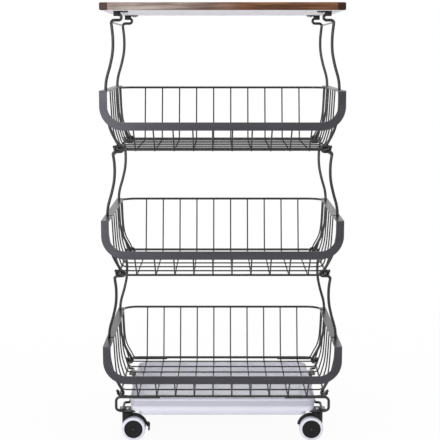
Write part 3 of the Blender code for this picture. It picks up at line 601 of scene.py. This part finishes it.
def board_wood():
    """Rustic board: long grain in streaks, paler to the left, warmer to the right, dark ends."""
    made, tree, shader = new_material("board_wood", (0.3, 0.17, 0.12), 0.5)
    shader.inputs["Specular IOR Level"].default_value = 0.25
    long_grain = noise(tree, 9.0, 8.0, (1.0, 26.0, 26.0), 0.7)
    streaks = noise(tree, 30.0, 4.0, (0.5, 9.0, 9.0), 0.6)
    patches = noise(tree, 5.0, 3.0, (1.0, 3.0, 3.0))
    place = axes_of(tree)
    across = spread(tree, place["X"], 0, 1, -BOARD_TONE_REACH, BOARD_TONE_REACH)
    drift = calculated(tree, "MULTIPLY_ADD", patches, WOOD_PATCH_SHARE, across)
    warmth = spread(tree, drift, 0, 1, WOOD_WARM_FROM, WOOD_WARM_TO)
    tone = mixed(tree, warmth, ramp(tree, long_grain, WOOD_PALE), ramp(tree, long_grain, WOOD_WARM))
    streaked = mixed(tree, WOOD_STREAK_SHARE, tone, ramp(tree, streaks, WOOD_STREAKS), "MULTIPLY")
    reach = calculated(tree, "ABSOLUTE", place["X"])
    end = spread(tree, reach, 0, 1, BOARD_END_TONE, BOARD_END_TONE + BOARD_EDGE)
    _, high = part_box("top_board")
    below_top = spread(tree, place["Z"], 1, 0, high.z - BOARD_EDGE, high.z - BOARD_EDGE / 2)
    end_grain = calculated(tree, "MULTIPLY", end, below_top)
    base = mixed(tree, end_grain, streaked, WOOD_END, "MULTIPLY")
    tree.links.new(base, shader.inputs["Base Color"])
    tree.links.new(spread(tree, long_grain, 0.62, 0.42), shader.inputs["Roughness"])
    bump(tree, shader, long_grain, 0.3, WOOD_DEPTH)
    return made


def board_backing():
    """Pale backing sheet on the board's underside."""
    made, tree, shader = new_material("board_backing", (0.80, 0.79, 0.85), 0.55)
    speck = noise(tree, 160.0, 3.0)
    base = drifting(tree, speck, (0.84, 0.82, 0.88), (0.93, 0.91, 0.97))
    tree.links.new(base, shader.inputs["Base Color"])
    bump(tree, shader, speck, 0.1, SPECK_DEPTH)
    return made


def moulded(name, dark, light, roughness, grain_scale, specular=0.5):
    """Moulded plastic with a fine spark-eroded grain."""
    made, tree, shader = new_material(name, dark, roughness)
    shader.inputs["Specular IOR Level"].default_value = specular
    drift = noise(tree, 20.0, 2.0)
    tree.links.new(drifting(tree, drift, dark, light), shader.inputs["Base Color"])
    grain = noise(tree, grain_scale, 2.0)
    tree.links.new(spread(tree, grain, roughness - 0.04, roughness + 0.06), shader.inputs["Roughness"])
    bump(tree, shader, grain, 0.15, MOULD_DEPTH)
    return made


def tray_plastic():
    """Milky plastic with painted light and shade by height on its front half: painted shade greys the
    thin upper wall, a paler painted light band lies lower down, and the rear is plain.
    """
    made = moulded("tray_plastic", (0.88, 0.88, 0.98), (0.93, 0.93, 1.0), 0.32, 500.0)
    tree = made.node_tree
    shader = tree.nodes["Principled BSDF"]
    shader.inputs["Subsurface Weight"].default_value = 0.35
    shader.inputs["Subsurface Radius"].default_value = (1, 1, 1)
    shader.inputs["Subsurface Scale"].default_value = TRAY_SCATTER
    place = axes_of(tree)
    # Painted shade and painted light by height, on the front half only; the rear half keeps the plain
    # colour
    height = spread(tree, place["Z"], 0, 1, TRAY_PAINTED_SHADE_LOW, TRAY_PAINTED_SHADE_HIGH)
    behind = calculated(tree, "GREATER_THAN", place["Y"], 0)
    tone = mixed(tree, behind, ramp(tree, height, TRAY_PAINTED_SHADING), WHITE)
    drift = shader.inputs["Base Color"].links[0].from_socket
    base = mixed(tree, 1.0, drift, tone, "MULTIPLY")
    tree.links.new(base, shader.inputs["Base Color"])
    return made


def zinc():
    """Zinc plating with faint cloudy spangle."""
    made, tree, shader = new_material("zinc_plate", (0.5, 0.5, 0.52), 0.3, 1.0)
    cloud = noise(tree, 220.0, 3.0)
    base = drifting(tree, cloud, (0.42, 0.42, 0.43), (0.6, 0.6, 0.62))
    tree.links.new(base, shader.inputs["Base Color"])
    tree.links.new(spread(tree, cloud, 0.22, 0.42), shader.inputs["Roughness"])
    return made


WIRE_ENAMEL = enamel("wire_enamel", (0.006, 0.006, 0.007), (0.011, 0.011, 0.012), 0.18, 900.0)
BAND_STEEL = band_steel()
WOOD = board_wood()
BACKING = board_backing()
BLACK_PLASTIC = moulded(
    "black_plastic", (0.007, 0.007, 0.008), (0.011, 0.011, 0.012), 0.42, 1400.0, specular=0.2,
)
TYRE_RUBBER = moulded("pale_tyre", (0.78, 0.78, 0.88), (0.82, 0.82, 0.91), 0.42, 700.0)
TRAY_PLASTIC = tray_plastic()
ZINC = zinc()
BLACKED_STEEL = enamel("blacked_steel", (0.010, 0.010, 0.011), (0.016, 0.016, 0.017), 0.45, 1200.0)


# Baskets


def ring_corner(top_reach, top_height):
    """Where a wire leaves the floor to rise past the inner side of the ring to its top."""
    across = top_reach - RING_HALF_DEPTH
    up = top_height - RING_LIFT
    slope = math.atan2(up, across) - math.asin(RING_TOUCH / math.hypot(across, up))
    return top_reach - top_height / math.tan(slope)


def lengthwise_path(x):
    """Up the leaning back, along the floor, up the sloping front and flat against the band."""
    top = BAND_BOTTOM + BAND_WIDTH
    band_back = BAND_FRONT - BAND_THICKNESS - THIN_WIRE / 2
    landing = top - WIRE_LANDING
    return rounded_path(
        (
            ((x, RIM_REAR, RIM_HEIGHT), 0),
            ((x, ring_corner(RIM_REAR, RIM_HEIGHT), 0), LENGTHWISE_BEND),
            ((x, -ring_corner(band_back, landing), 0), LENGTHWISE_BEND),
            ((x, -band_back, landing), LENGTHWISE_BEND),
            ((x, -band_back, top - THIN_WIRE), 0),
        )
    )


def ring_half_width(y):
    """How far out the basket's floor ring runs at a depth."""
    past = max(abs(y) - (RING_HALF_DEPTH - RING_CORNER), 0)
    return RING_HALF_WIDTH - RING_CORNER + math.sqrt(RING_CORNER**2 - past**2)


def cross_path(y):
    """Along the floor on top of the lengthwise wires and up both sides."""
    level = THIN_WIRE - WELD_DEPTH
    reach = CROSS_BEND + RING_TOUCH
    rise = level + CROSS_BEND
    bend = ring_half_width(y) - math.sqrt(reach**2 - (rise - RING_LIFT) ** 2)
    half = [(x, y, z) for x, z in arc((bend, rise), CROSS_BEND, -90, -15, 8)]
    knee = (RING_HALF_WIDTH + SIDE_KNEE[0], y, SIDE_KNEE[1])
    side = [half[-1], knee, (RING_HALF_WIDTH + SIDE_FLARE, y, STRIP_TOP - BAND_THICKNESS)]
    half += smooth_path(side)[1:]
    return [(-x, y, z) for x, y, z in reversed(half)] + [tuple(p) for p in half]


def basket_wires():
    wires = []
    outline = rounded_rectangle(RING_HALF_WIDTH, RING_HALF_DEPTH, RING_CORNER, 8)
    wires.append(bent_wire([(x, y, RING_LIFT) for x, y in outline], RING_WIRE, True))
    for index in range(LENGTHWISE_COUNT):
        x = (index - (LENGTHWISE_COUNT - 1) / 2) * LENGTHWISE_SPACING
        wires.append(bent_wire(lengthwise_path(x), THIN_WIRE + ENAMEL))
    depths = [(index - (CROSS_COUNT - 1) / 2) * CROSS_SPACING for index in range(CROSS_COUNT)]
    for y in [depth + CROSS_SHIFT for depth in depths] + [REAR_CROSS_Y]:
        wires.append(bent_wire(cross_path(y), THIN_WIRE + ENAMEL))
    rim = ((RIM_HALF_WIDTH, RIM_REAR - RIM_CORNER, RIM_HEIGHT), 0)
    corner = ((RIM_HALF_WIDTH, RIM_REAR, RIM_HEIGHT), RIM_CORNER * RIM_CORNER_SHARE)
    mirrored = [((-p[0], p[1], p[2]), r) for p, r in (corner, rim)]
    wires.append(bent_wire(rounded_path((rim, corner, *mirrored), 10), RIM_WIRE))
    return joined(wires)


def copied(mesh):
    piece = bpy.data.objects.new("copy", mesh.copy())
    bpy.context.scene.collection.objects.link(piece)
    return piece


def on_each_tier(pattern, kind, lift, ending, finish):
    """Sets the pattern and its copies, each with its own mesh, at the tiers' nodes."""
    mesh = pattern.data.copy()
    for index, tier in enumerate(TIERS):
        piece = pattern if index == 0 else copied(mesh)
        low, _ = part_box(tier + kind)
        piece.location = (0, STACK_Y, low.z + lift)
        settle(piece)
        finished(piece, tier + ending, "root", finish, [tier + kind])


def make_baskets():
    pattern = smooth(basket_wires(), SMOOTH_WIRE)
    on_each_tier(pattern, "_basket", THIN_WIRE / 2, "_basket_wires", WIRE_ENAMEL)


# Front bands


def notched_inner_edge():
    """The strip's inner edge from the fold to the rear, with a slot for each support wire."""
    inner = BAND_HALF_WIDTH - STRIP_WIDTH
    slot = BAND_HALF_WIDTH - NOTCH_WALL
    edge = []
    for sign in (-1, 1):
        middle = sign * support_depth(STRIP_TOP - BAND_THICKNESS)
        near = middle - NOTCH_WIDTH / 2
        far = middle + NOTCH_WIDTH / 2
        edge += [(inner, near), (slot, near), (slot, far), (inner, far)]
    return edge


def band():
    """The upright U and the two side strips, one folded piece of strip steel."""
    front_y = -BAND_FRONT
    inner = BAND_HALF_WIDTH - STRIP_WIDTH
    inner_corner = BAND_CORNER - BAND_WIDTH
    corner_z = BAND_BOTTOM + BAND_CORNER
    outer_arc = arc((BAND_HALF_WIDTH - BAND_CORNER, corner_z), BAND_CORNER, 0, -90, 20)
    inner_arc = arc((inner - inner_corner, corner_z), inner_corner, 0, -90, 20)
    fold_z = STRIP_TOP - BAND_FOLD
    outer_half = [(BAND_HALF_WIDTH, fold_z)] + outer_arc
    inner_half = [(inner, fold_z)] + inner_arc
    outline = outer_half + [(-x, z) for x, z in reversed(outer_half)]
    outline += [(-x, z) for x, z in inner_half] + list(reversed(inner_half))
    plate = slab([(x, front_y, z) for x, z in outline], (0, BAND_THICKNESS, 0))
    pieces = [plate]
    fold_y = front_y + BAND_FOLD
    end = STRIP_WIDTH / 2
    strip_outline = [(BAND_HALF_WIDTH, fold_y), (inner, fold_y)] + notched_inner_edge()
    strip_outline += arc((BAND_HALF_WIDTH - end, STRIP_REAR - end), end, 180, 0, 10)
    fold = arc((fold_y, fold_z), BAND_FOLD, 180, 90, 6)
    fold += arc((fold_y, fold_z), BAND_FOLD - BAND_THICKNESS, 90, 180, 6)
    for side in (-1, 1):
        points = [(side * x, y, STRIP_TOP - BAND_THICKNESS) for x, y in strip_outline]
        pieces.append(slab(points, (0, 0, BAND_THICKNESS)))
        section = [(side * inner, y, z) for y, z in fold]
        pieces.append(slab(section, (side * STRIP_WIDTH, 0, 0)))
    piece = joined(pieces)
    edit()
    close_mesh()
    finish_edit()
    return piece


def make_bands():
    pattern = smooth(band(), SMOOTH_CRISP)
    on_each_tier(pattern, "_front_band", -BAND_BOTTOM, "_band", BAND_STEEL)


# Supports


def support_depth(height):
    """Half the span between a support's wires at a height above the floor wires."""
    low = HEIGHT_SHARES[0] * TIER_PITCH
    high = HEIGHT_SHARES[-2] * TIER_PITCH
    share = min(max((height - low) / (high - low), 0), 1)
    return EYE_SPAN + share * (HOOK_SPAN - EYE_SPAN)


def shoulder_arc(rise):
    """The bend from a leg to its hook's lower arm."""
    lower = HOOK_LOWER - RING_LIFT + rise
    middle = (BULGE_SHARES[-1] * BULGE - HOOK_INSET, lower - HOOK_INSET)
    return arc(middle, HOOK_INSET, SHOULDER_ANGLE, 90, 6)


def support_path(end, rise):
    """One wire of a support: its eye, the bulging leg, the shoulder and the hook."""
    profile = [
        (share * BULGE, height * TIER_PITCH - RING_LIFT)
        for share, height in zip(BULGE_SHARES, HEIGHT_SHARES)
    ]
    first = Vector(profile[0])
    tangent = math.degrees(math.atan2(first.y, first.x) + math.acos(EYE_RADIUS / first.length))
    eye = arc((0, 0), EYE_RADIUS, EYE_START_ANGLE, tangent, 18)
    tip = [(eye[0][0] + TIP_REACH / 2, eye[0][1] + TIP_RISE / 2)]
    lower = HOOK_LOWER - RING_LIFT + rise
    upper = lower + HOOK_OPENING
    shoulder = shoulder_arc(rise)
    body = smooth_path([(x, 0, z) for x, z in [eye[-1]] + profile[:-1] + [shoulder[0]]])
    middle = [(p.x, p.z) for p in body][1:-1]
    turn = arc((-HOOK_INSET, (lower + upper) / 2), HOOK_OPENING / 2, 270, 90, 12)
    arm = [(HOOK_ARM - HOOK_INSET, upper)]
    section = tip + eye + middle + shoulder + turn + arm
    return [(x, end * support_depth(z + RING_LIFT), z) for x, z in section]


def crossbar_spot(rise):
    """At the shoulder, or below it where a ring's eyes hang."""
    reach, height = shoulder_arc(rise)[0]
    if rise > 0:
        return reach, height
    below = BULGE_SHARES[-2] * BULGE
    below_height = HEIGHT_SHARES[-2] * TIER_PITCH - RING_LIFT
    share = CROSSBAR_DROP / (height - below_height)
    return reach + share * (below - reach), height - CROSSBAR_DROP


def make_supports():
    """Two bent wires and a crossbar a side, hooked to the tier above."""
    for tier in TIERS:
        low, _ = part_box(tier + "_basket")
        floor = low.z + THIN_WIRE / 2
        rise = TOP_RISE if tier == TIERS[-1] else 0
        for label, side in SIDES:
            wires = []
            for end in (-1, 1):
                path = [(side * x, y, z) for x, y, z in support_path(end, rise)]
                wires.append(bent_wire(path, SUPPORT_WIRE + ENAMEL, sides=4))
            bar_x, bar_z = crossbar_spot(rise)
            ends = [(side * bar_x, -HOOK_SPAN, bar_z), (side * bar_x, HOOK_SPAN, bar_z)]
            wires.append(bent_wire(ends, CROSSBAR_WIRE))
            piece = smooth(joined(wires), SMOOTH_WIRE)
            piece.location = (side * RING_HALF_WIDTH, STACK_Y, floor + RING_LIFT)
            settle(piece)
            name = f"{tier}_support_{label}"
            finished(piece, name + "_wires", name, WIRE_ENAMEL, [name])


# Foot frames


def foot_corners(bar_y, bar_z, end):
    """Half a foot frame: bar, drop, turn over the plate and jog in behind the stem."""
    jog_y = end * FOOT_JOG_Y
    return [
        ((FOOT_INNER_END, end * bar_y, bar_z), 0),
        ((FOOT_HALF_WIDTH, end * bar_y, bar_z), FOOT_CORNER),
        ((FOOT_HALF_WIDTH, end * bar_y, FOOT_LOW), FOOT_LOWER_CORNER),
        ((FOOT_PLATE_SPAN, end * bar_y, FOOT_LOW), FOOT_TURN * FOOT_TURN_SHARE),
        ((FOOT_PLATE_SPAN, jog_y, FOOT_LOW), FOOT_JOG_BEND),
        ((FOOT_RUNNER, jog_y, FOOT_LOW), FOOT_JOG_BEND),
    ]


def make_foot_frames():
    for label, side in SIDES:
        corners = foot_corners(*FOOT_FRONT, -1) + list(reversed(foot_corners(*FOOT_REAR, 1)))
        path = rounded_path([((side * p[0], p[1], p[2]), r) for p, r in corners], 8)
        piece = smooth(bent_wire(path, FOOT_WIRE, sides=4), SMOOTH_WIRE)
        piece.location = (0, STACK_Y, 0)
        settle(piece)
        name = "foot_frame_" + label
        finished(piece, name + "_wire", "root", WIRE_ENAMEL, [name])


# Top board, clips and screws


def is_upright(mesh, edge):
    a, b = (mesh.vertices[i].co for i in edge.vertices)
    return abs(a.z - b.z) > abs(a.x - b.x) + abs(a.y - b.y)


def make_board():
    """The board with rounded corners and edges, and its backing sheet below."""
    low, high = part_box("top_board")
    size = high - low
    deselect()
    bpy.ops.mesh.primitive_cube_add(size=1, location=(low + high) / 2, scale=size)
    piece = bpy.context.object
    settle(piece)
    upright = [e.index for e in piece.data.edges if is_upright(piece.data, e)]
    edit()
    bpy.ops.mesh.select_all(action="DESELECT")
    finish_edit()
    for index in upright:
        piece.data.edges[index].select = True
    bpy.ops.object.mode_set(mode="EDIT")
    bpy.ops.mesh.select_mode(type="EDGE")
    bpy.ops.mesh.bevel(offset=BOARD_CORNER, segments=8, affect="EDGES")
    finish_edit()
    round_edges(piece, BOARD_EDGE)
    smooth(piece, SMOOTH_CRISP)
    finished(piece, "board", "board", WOOD, ["top_board"])
    piece.data.materials.append(BACKING)
    for face in piece.data.polygons:
        if face.normal.z < BOARD_DOWN:
            face.material_index = 1


def make_clip(corner, side):
    """A saddle over the hook's upper arm, with its flange."""
    name = "board_clip_" + corner
    low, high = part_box(name)
    middle_y = (low.y + high.y) / 2
    depth = (high.y - low.y) / 2
    outer_x = high.x if side > 0 else low.x
    inner_x = low.x if side > 0 else high.x
    arch = arc((0, 0), SUPPORT_WIRE / 2 + GAP, 0, 180, 12)
    section = [(depth, low.z), (depth, high.z), (-depth, high.z), (-depth, low.z)]
    section += [(y, low.z + z) for y, z in reversed(arch)]
    saddle = slab([(outer_x, middle_y + y, z) for y, z in section], (-side * CLIP_LENGTH, 0, 0))
    flange_x = outer_x - side * CLIP_LENGTH
    flange_z = high.z - CLIP_FLANGE
    outline = [(flange_x, -depth), (flange_x, depth)]
    outline += [(inner_x + side * (depth - x), y) for x, y in arc((0, 0), depth, 90, -90, 12)]
    flange = slab([(x, middle_y + y, flange_z) for x, y in outline], (0, 0, CLIP_FLANGE))
    piece = joined([saddle, flange])
    smooth(round_edges(piece, CLIP_EDGE, 2), SMOOTH_CRISP)
    finished(piece, name + "_saddle", "board", BLACK_PLASTIC, [name])


def make_screw(node_name):
    """A pan head with a recess, and its shaft up into the board."""
    low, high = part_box(node_name)
    middle = (low + high) / 2
    shaft = SCREW_HEAD / 2
    profile = [(0, RECESS / 2), (RECESS, RECESS / 4), (RECESS, 0)]
    profile += arc((SCREW_HEAD - SCREW_HEAD_HEIGHT, SCREW_HEAD_HEIGHT), SCREW_HEAD_HEIGHT, 270, 360, 5)
    profile += [(shaft, SCREW_HEAD_HEIGHT), (shaft, high.z - low.z - shaft), (0, high.z - low.z)]
    piece = smooth(lathed(profile, (middle.x, middle.y, low.z), (0, 0, 1), 24), SMOOTH_CRISP)
    finished(piece, node_name + "_turned", "board", ZINC, [node_name])


# Drip tray


def make_tray():
    """A thin tray: keel, shoulder that rests on the caster plates, wall and rolled rim."""
    low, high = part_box("drip_tray")
    middle = (low + high) / 2
    half = (high - low) / 2
    shoulder_z = low.z + TRAY_KEEL
    levels = (
        (TRAY_SHOULDER + TRAY_WALL, TRAY_SETBACK + TRAY_WALL, low.z),
        (TRAY_SHOULDER, TRAY_SETBACK, shoulder_z),
        (TRAY_WALL, TRAY_WALL, shoulder_z),
        (0, 0, high.z),
    )
    loops = []
    for side_inset, end_inset, height in levels:
        radius = TRAY_CORNER - end_inset / 2
        outline = rounded_rectangle(half.x - side_inset, half.y - end_inset, radius, 10)
        points = [(middle.x + x, middle.y + y, height) for x, y in outline]
        loops.append(drawn(points, closed=True))
    piece = joined(loops)
    edit()
    bpy.ops.mesh.bridge_edge_loops()
    bpy.ops.mesh.select_all(action="DESELECT")
    finish_edit()
    for vertex in piece.data.vertices:
        vertex.select = abs(vertex.co.z - low.z) < TRAY_WALL / 100
    edit_keep_selection()
    bpy.ops.mesh.edge_face_add()
    close_mesh()
    finish_edit()
    apply(piece, "SOLIDIFY", thickness=TRAY_WALL, offset=-1, use_even_offset=True)
    round_edges(piece, TRAY_WALL / 3, 2, 30)
    smooth(piece, SMOOTH_MOULDED)
    finished(piece, "tray_shell", "tray", TRAY_PLASTIC, ["drip_tray"])


# Casters


def make_wheel(label, half):
    """A tyre and its dished hub."""
    name = label + ("_outer" if half < 0 else "_inner")
    body = "wheel_" + name
    low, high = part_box("tyre_" + name)
    middle = (low + high) / 2
    reach = WHEEL_WIDTH / 2
    bed = WHEEL_RADIUS - TYRE_DEPTH
    shoulder = WHEEL_RADIUS - TYRE_ROUND
    upper = arc((shoulder, reach - TYRE_ROUND), TYRE_ROUND, 90, 0, 6)
    tread = upper + [(r, -h) for r, h in reversed(upper)]
    profile = [(bed, reach)] + tread + [(bed, -reach)]
    tyre = smooth(lathed(profile, middle, (0, 1, 0), 72, True), SMOOTH_CRISP)
    finished(tyre, "tyre_" + name + "_ring", body, TYRE_RUBBER, ["tyre_" + name])
    face = bed - HUB_SEAT
    disc = [(0, reach), (AXLE_CAP, reach), (AXLE_CAP + HUB_DISH / 2, reach - HUB_DISH)]
    disc += [(face - HUB_RIM - HUB_DISH, reach - HUB_DISH), (face - HUB_RIM, reach - HUB_DISH / 8)]
    disc += [(face - HUB_DISH / 4, reach), (face, reach - HUB_DISH / 4)]
    disc += [(face, -reach), (0, -reach)]
    hub = smooth(lathed(disc, middle, (0, half, 0), 72), SMOOTH_CRISP)
    finished(hub, "hub_" + name + "_disc", body, BLACK_PLASTIC, ["hub_" + name])


def make_hood(label, side, has_brake):
    """The body: a round boss for the stem and a fender between the two wheels."""
    node_name = "caster_hood_" + label
    body = "caster_" + label
    _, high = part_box(node_name)
    plate = middle_of("caster_plate_" + label)
    inward = -side
    hub = Vector((plate.x + inward * WHEEL_TRAIL, plate.y, WHEEL_RADIUS))
    bottom = high.z - BOSS_HEIGHT
    profile = [(0, high.z)]
    profile += arc((BOSS_RADIUS - BOSS_EDGE, high.z - BOSS_EDGE), BOSS_EDGE, 90, 0, 5)
    profile += [(BOSS_RADIUS, bottom), (0, bottom)]
    boss = lathed(profile, (plate.x, plate.y, 0), (0, 0, 1), 64)
    room_y = (HOOD_WEB + WHEEL_PITCH) / 2 + GAP
    for half in (-1, 1):
        deselect()
        bpy.ops.mesh.primitive_cylinder_add(
            vertices=96, radius=HOOD_INNER, depth=WHEEL_PITCH,
            location=(hub.x, hub.y + half * room_y, hub.z), rotation=(math.radians(90), 0, 0),
        )
        room = bpy.context.object
        apply(boss, "BOOLEAN", object=room, operation="DIFFERENCE", solver="EXACT")
        bpy.data.objects.remove(room, do_unlink=True)
    outer = HOOD_INNER + HOOD_WALL
    heel_x = WHEEL_TRAIL + BOSS_RADIUS - BOSS_EDGE
    heel_angle = math.degrees(math.acos(-heel_x / outer))
    outline = arc((0, 0), outer, HOOD_TIP_ANGLE + 2, heel_angle, 30)
    outline.append((-heel_x, bottom - hub.z + BOSS_EDGE))
    outline += arc((0, 0), (WHEEL_RADIUS - TYRE_DEPTH) / 2, 200, 340, 10)
    tip = arc((0, 0), HOOD_INNER + HOOD_WALL / 2, HOOD_TIP_ANGLE, 0, 1)[0]
    outline += [arc((0, 0), HOOD_INNER, HOOD_TIP_ANGLE + 2, 0, 1)[0], tip]
    web_points = [(hub.x + inward * x, hub.y - HOOD_WEB / 2, hub.z + z) for x, z in outline]
    web = round_edges(slab(web_points, (0, HOOD_WEB, 0)), HOOD_EDGE, 2, 50)
    pieces = [boss, web]
    if has_brake:
        pieces.append(lever_lug(hub, inward))
    piece = smooth(joined(pieces), SMOOTH_HOOD)
    finished(piece, node_name + "_shell", body, BLACK_PLASTIC, [node_name])
    return hub, inward


def lever_pivot(hub, inward):
    """Where the brake lever turns, at the hood's tip."""
    angle = math.radians(LEVER_ANGLE)
    return hub + Vector((inward * LEVER_REACH * math.cos(angle), 0, LEVER_REACH * math.sin(angle)))


def lever_lug(hub, inward):
    """The eye on the hood that the lever's cheeks hold."""
    pivot = lever_pivot(hub, inward)
    root = HOOD_INNER + HOOD_WALL / 2
    low = arc((hub.x, hub.z), root, LEVER_ANGLE - LUG_HALF_ANGLE, LEVER_ANGLE + LUG_HALF_ANGLE, 3)
    low = [(hub.x + inward * (x - hub.x), z) for x, z in low]
    cap = [(pivot.x + inward * x, pivot.z + z) for x, z in arc((0, 0), LEVER_BARREL, 130, -80, 12)]
    outline = [low[-1]] + cap + [low[0]]
    points = [(x, hub.y - HOOD_WEB / 2 + GAP, z) for x, z in outline]
    return slab(points, (0, HOOD_WEB - 2 * GAP, 0))


def make_lever(label, hub, inward):
    """The hooked brake tab with its two cheeks either side of the lug."""
    pivot = lever_pivot(hub, inward)
    barrel = LEVER_BARREL + GAP
    thick = LEVER_THICKNESS
    nose = arc((LEVER_OUT, -LEVER_DROP + thick / 2), thick / 2, 0, -180, 8)
    front = (LEVER_OUT + thick / 2, -LEVER_DROP / 2)
    back = (LEVER_OUT - thick / 2, -LEVER_DROP / 2)
    outline = arc((0, 0), barrel, 160, 20, 8)
    outline += [(barrel + LEVER_OUT / 2, 0), front] + nose
    outline += [back, (barrel / 2, -barrel), (-barrel / 2, -barrel)]
    cheeks = []
    gap = HOOD_WEB / 2 + GAP
    for start, width in ((-LEVER_WIDTH / 2, LEVER_WIDTH / 2 - gap), (gap, LEVER_WIDTH / 2 - gap)):
        points = [(pivot.x + inward * x, pivot.y + start, pivot.z + z) for x, z in outline]
        cheeks.append(slab(points, (0, width, 0)))
    blade = [front] + nose + [back]
    points = [(pivot.x + inward * x, pivot.y - gap, pivot.z + z) for x, z in blade]
    cheeks.append(slab(points, (0, 2 * gap, 0)))
    piece = smooth(round_edges(joined(cheeks), thick / 8, 2, 50), SMOOTH_MOULDED)
    name = "brake_lever_" + label
    finished(piece, name + "_tab", "brake_" + label, BLACK_PLASTIC, [name])


def make_stem(label):
    """The stem with its collar and riveted head."""
    node_name = "caster_stem_" + label
    low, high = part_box(node_name)
    middle = (low + high) / 2
    height = high.z - low.z
    collar = (high.x - low.x) / 2
    plate_low, plate_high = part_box("caster_plate_" + label)
    _, hood_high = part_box("caster_hood_" + label)
    collar_top = plate_low.z - low.z - GAP
    collar_low = hood_high.z - low.z + GAP
    head_low = plate_high.z - low.z + GAP
    crown = height - head_low
    edge = GAP * 2
    profile = [(0, height)]
    profile += arc((STEM_HEAD - crown, head_low), crown, 90, 0, 6)
    profile += [(STEM_RADIUS, head_low), (STEM_RADIUS, collar_top), (collar - edge, collar_top)]
    profile += [(collar, collar_top - edge), (collar, collar_low + edge), (collar - edge, collar_low)]
    profile += [(STEM_RADIUS, collar_low), (STEM_RADIUS, 0), (0, 0)]
    piece = smooth(lathed(profile, (middle.x, middle.y, low.z), (0, 0, 1), 32), SMOOTH_CRISP)
    finished(piece, node_name + "_turned", "caster_" + label, ZINC, [node_name])


def make_plate(label):
    """The square plate under the foot wire."""
    node_name = "caster_plate_" + label
    low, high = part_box(node_name)
    middle = (low + high) / 2
    half = (high.x - low.x) / 2
    thick = high.z - low.z
    outline = rounded_rectangle(half, half, PLATE_CORNER, 6)
    points = [(middle.x + x, middle.y + y, low.z) for x, y in outline]
    piece = smooth(round_edges(slab(points, (0, 0, thick)), thick / 6, 2, 60), SMOOTH_CRISP)
    finished(piece, node_name + "_steel", "root", WIRE_ENAMEL, [node_name])


def make_caster(label, side, has_brake):
    make_plate(label)
    make_stem(label)
    hub, inward = make_hood(label, side, has_brake)
    for half in (-1, 1):
        make_wheel(label, half)
    if has_brake:
        make_lever(label, hub, inward)
    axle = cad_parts["axle_" + label]
    axle.data.materials.clear()
    axle.data.materials.append(BLACKED_STEEL)


# Floor, light and camera


def rays_to_background(tree):
    """One for rays that show the background: seen, mirrored or through glass."""
    path = node(tree, "ShaderNodeLightPath").outputs
    seen = calculated(tree, "MAXIMUM", path["Is Camera Ray"], path["Is Transmission Ray"])
    return calculated(tree, "MAXIMUM", seen, path["Is Glossy Ray"])


def make_floor():
    """A white floor that keeps a faint shadow and turns into plain white away from the rack."""
    deselect()
    bpy.ops.mesh.primitive_plane_add(size=FLOOR_SIZE, location=(0, 0, -FLOOR_DROP))
    floor = bpy.context.object
    floor.name = "floor"
    made, tree, shader = new_material("floor_paint", (0.88, 0.88, 0.88), 0.9)
    speck = noise(tree, 40.0, 3.0)
    base = drifting(tree, speck, (0.87, 0.87, 0.87), (0.89, 0.89, 0.89))
    tree.links.new(base, shader.inputs["Base Color"])
    where = node(tree, "ShaderNodeTexCoord")
    reach = node(tree, "ShaderNodeVectorMath", operation="LENGTH")
    tree.links.new(where.outputs["Object"], reach.inputs[0])
    reach_out = reach.outputs["Value"]
    fade = spread(tree, reach_out, FLOOR_SHADOW_SHARE, 1, FLOOR_SHADOW_REACH / 3, FLOOR_SHADOW_REACH)
    seen = calculated(tree, "MULTIPLY", rays_to_background(tree), fade)
    glow = node(tree, "ShaderNodeEmission")
    mix = node(tree, "ShaderNodeMixShader")
    tree.links.new(seen, mix.inputs["Fac"])
    tree.links.new(shader.outputs["BSDF"], mix.inputs[1])
    tree.links.new(glow.outputs["Emission"], mix.inputs[2])
    tree.links.new(mix.outputs["Shader"], tree.nodes["Material Output"].inputs["Surface"])
    floor.data.materials.append(made)


def make_world():
    """White where it is seen or mirrored, and an even soft light for the rest."""
    world = bpy.data.worlds.new("studio")
    world.use_nodes = True
    tree = world.node_tree
    ground = tree.nodes["Background"]
    ground.inputs["Color"].default_value = WHITE
    strength = calculated(tree, "MAXIMUM", rays_to_background(tree), WORLD_LEVEL)
    tree.links.new(strength, ground.inputs["Strength"])
    bpy.context.scene.world = world


def make_lamp(name, place, aim, size, power):
    lamp = bpy.data.lights.new(name, "AREA")
    lamp.shape = "RECTANGLE"
    lamp.size, lamp.size_y = size
    lamp.energy = power
    holder = bpy.data.objects.new(name, lamp)
    holder.location = place
    holder.rotation_euler = (Vector(aim) - Vector(place)).to_track_quat("-Z", "Y").to_euler()
    bpy.context.scene.collection.objects.link(holder)


def make_camera():
    lens = bpy.data.cameras.new("camera")
    lens.lens = CAMERA_LENS
    lens.sensor_width = CAMERA_SENSOR
    camera = bpy.data.objects.new("camera", lens)
    camera.location = Vector(CAMERA_PLACE) + Vector((0, STACK_Y, 0))
    camera.rotation_euler = (math.radians(CAMERA_TILT), 0, 0)
    bpy.context.scene.collection.objects.link(camera)
    bpy.context.scene.camera = camera


bpy.context.scene.view_settings.view_transform = "Standard"
make_camera()
make_baskets()
make_bands()
make_supports()
make_foot_frames()
make_board()
for corner, _, side in CORNERS:
    make_clip(corner, side)
    make_screw("clip_screw_" + corner)
make_tray()
for corner, end, side in CORNERS:
    make_caster(corner, side, side == end)
make_floor()
make_world()
for lamp in LAMPS:
    make_lamp(*lamp)
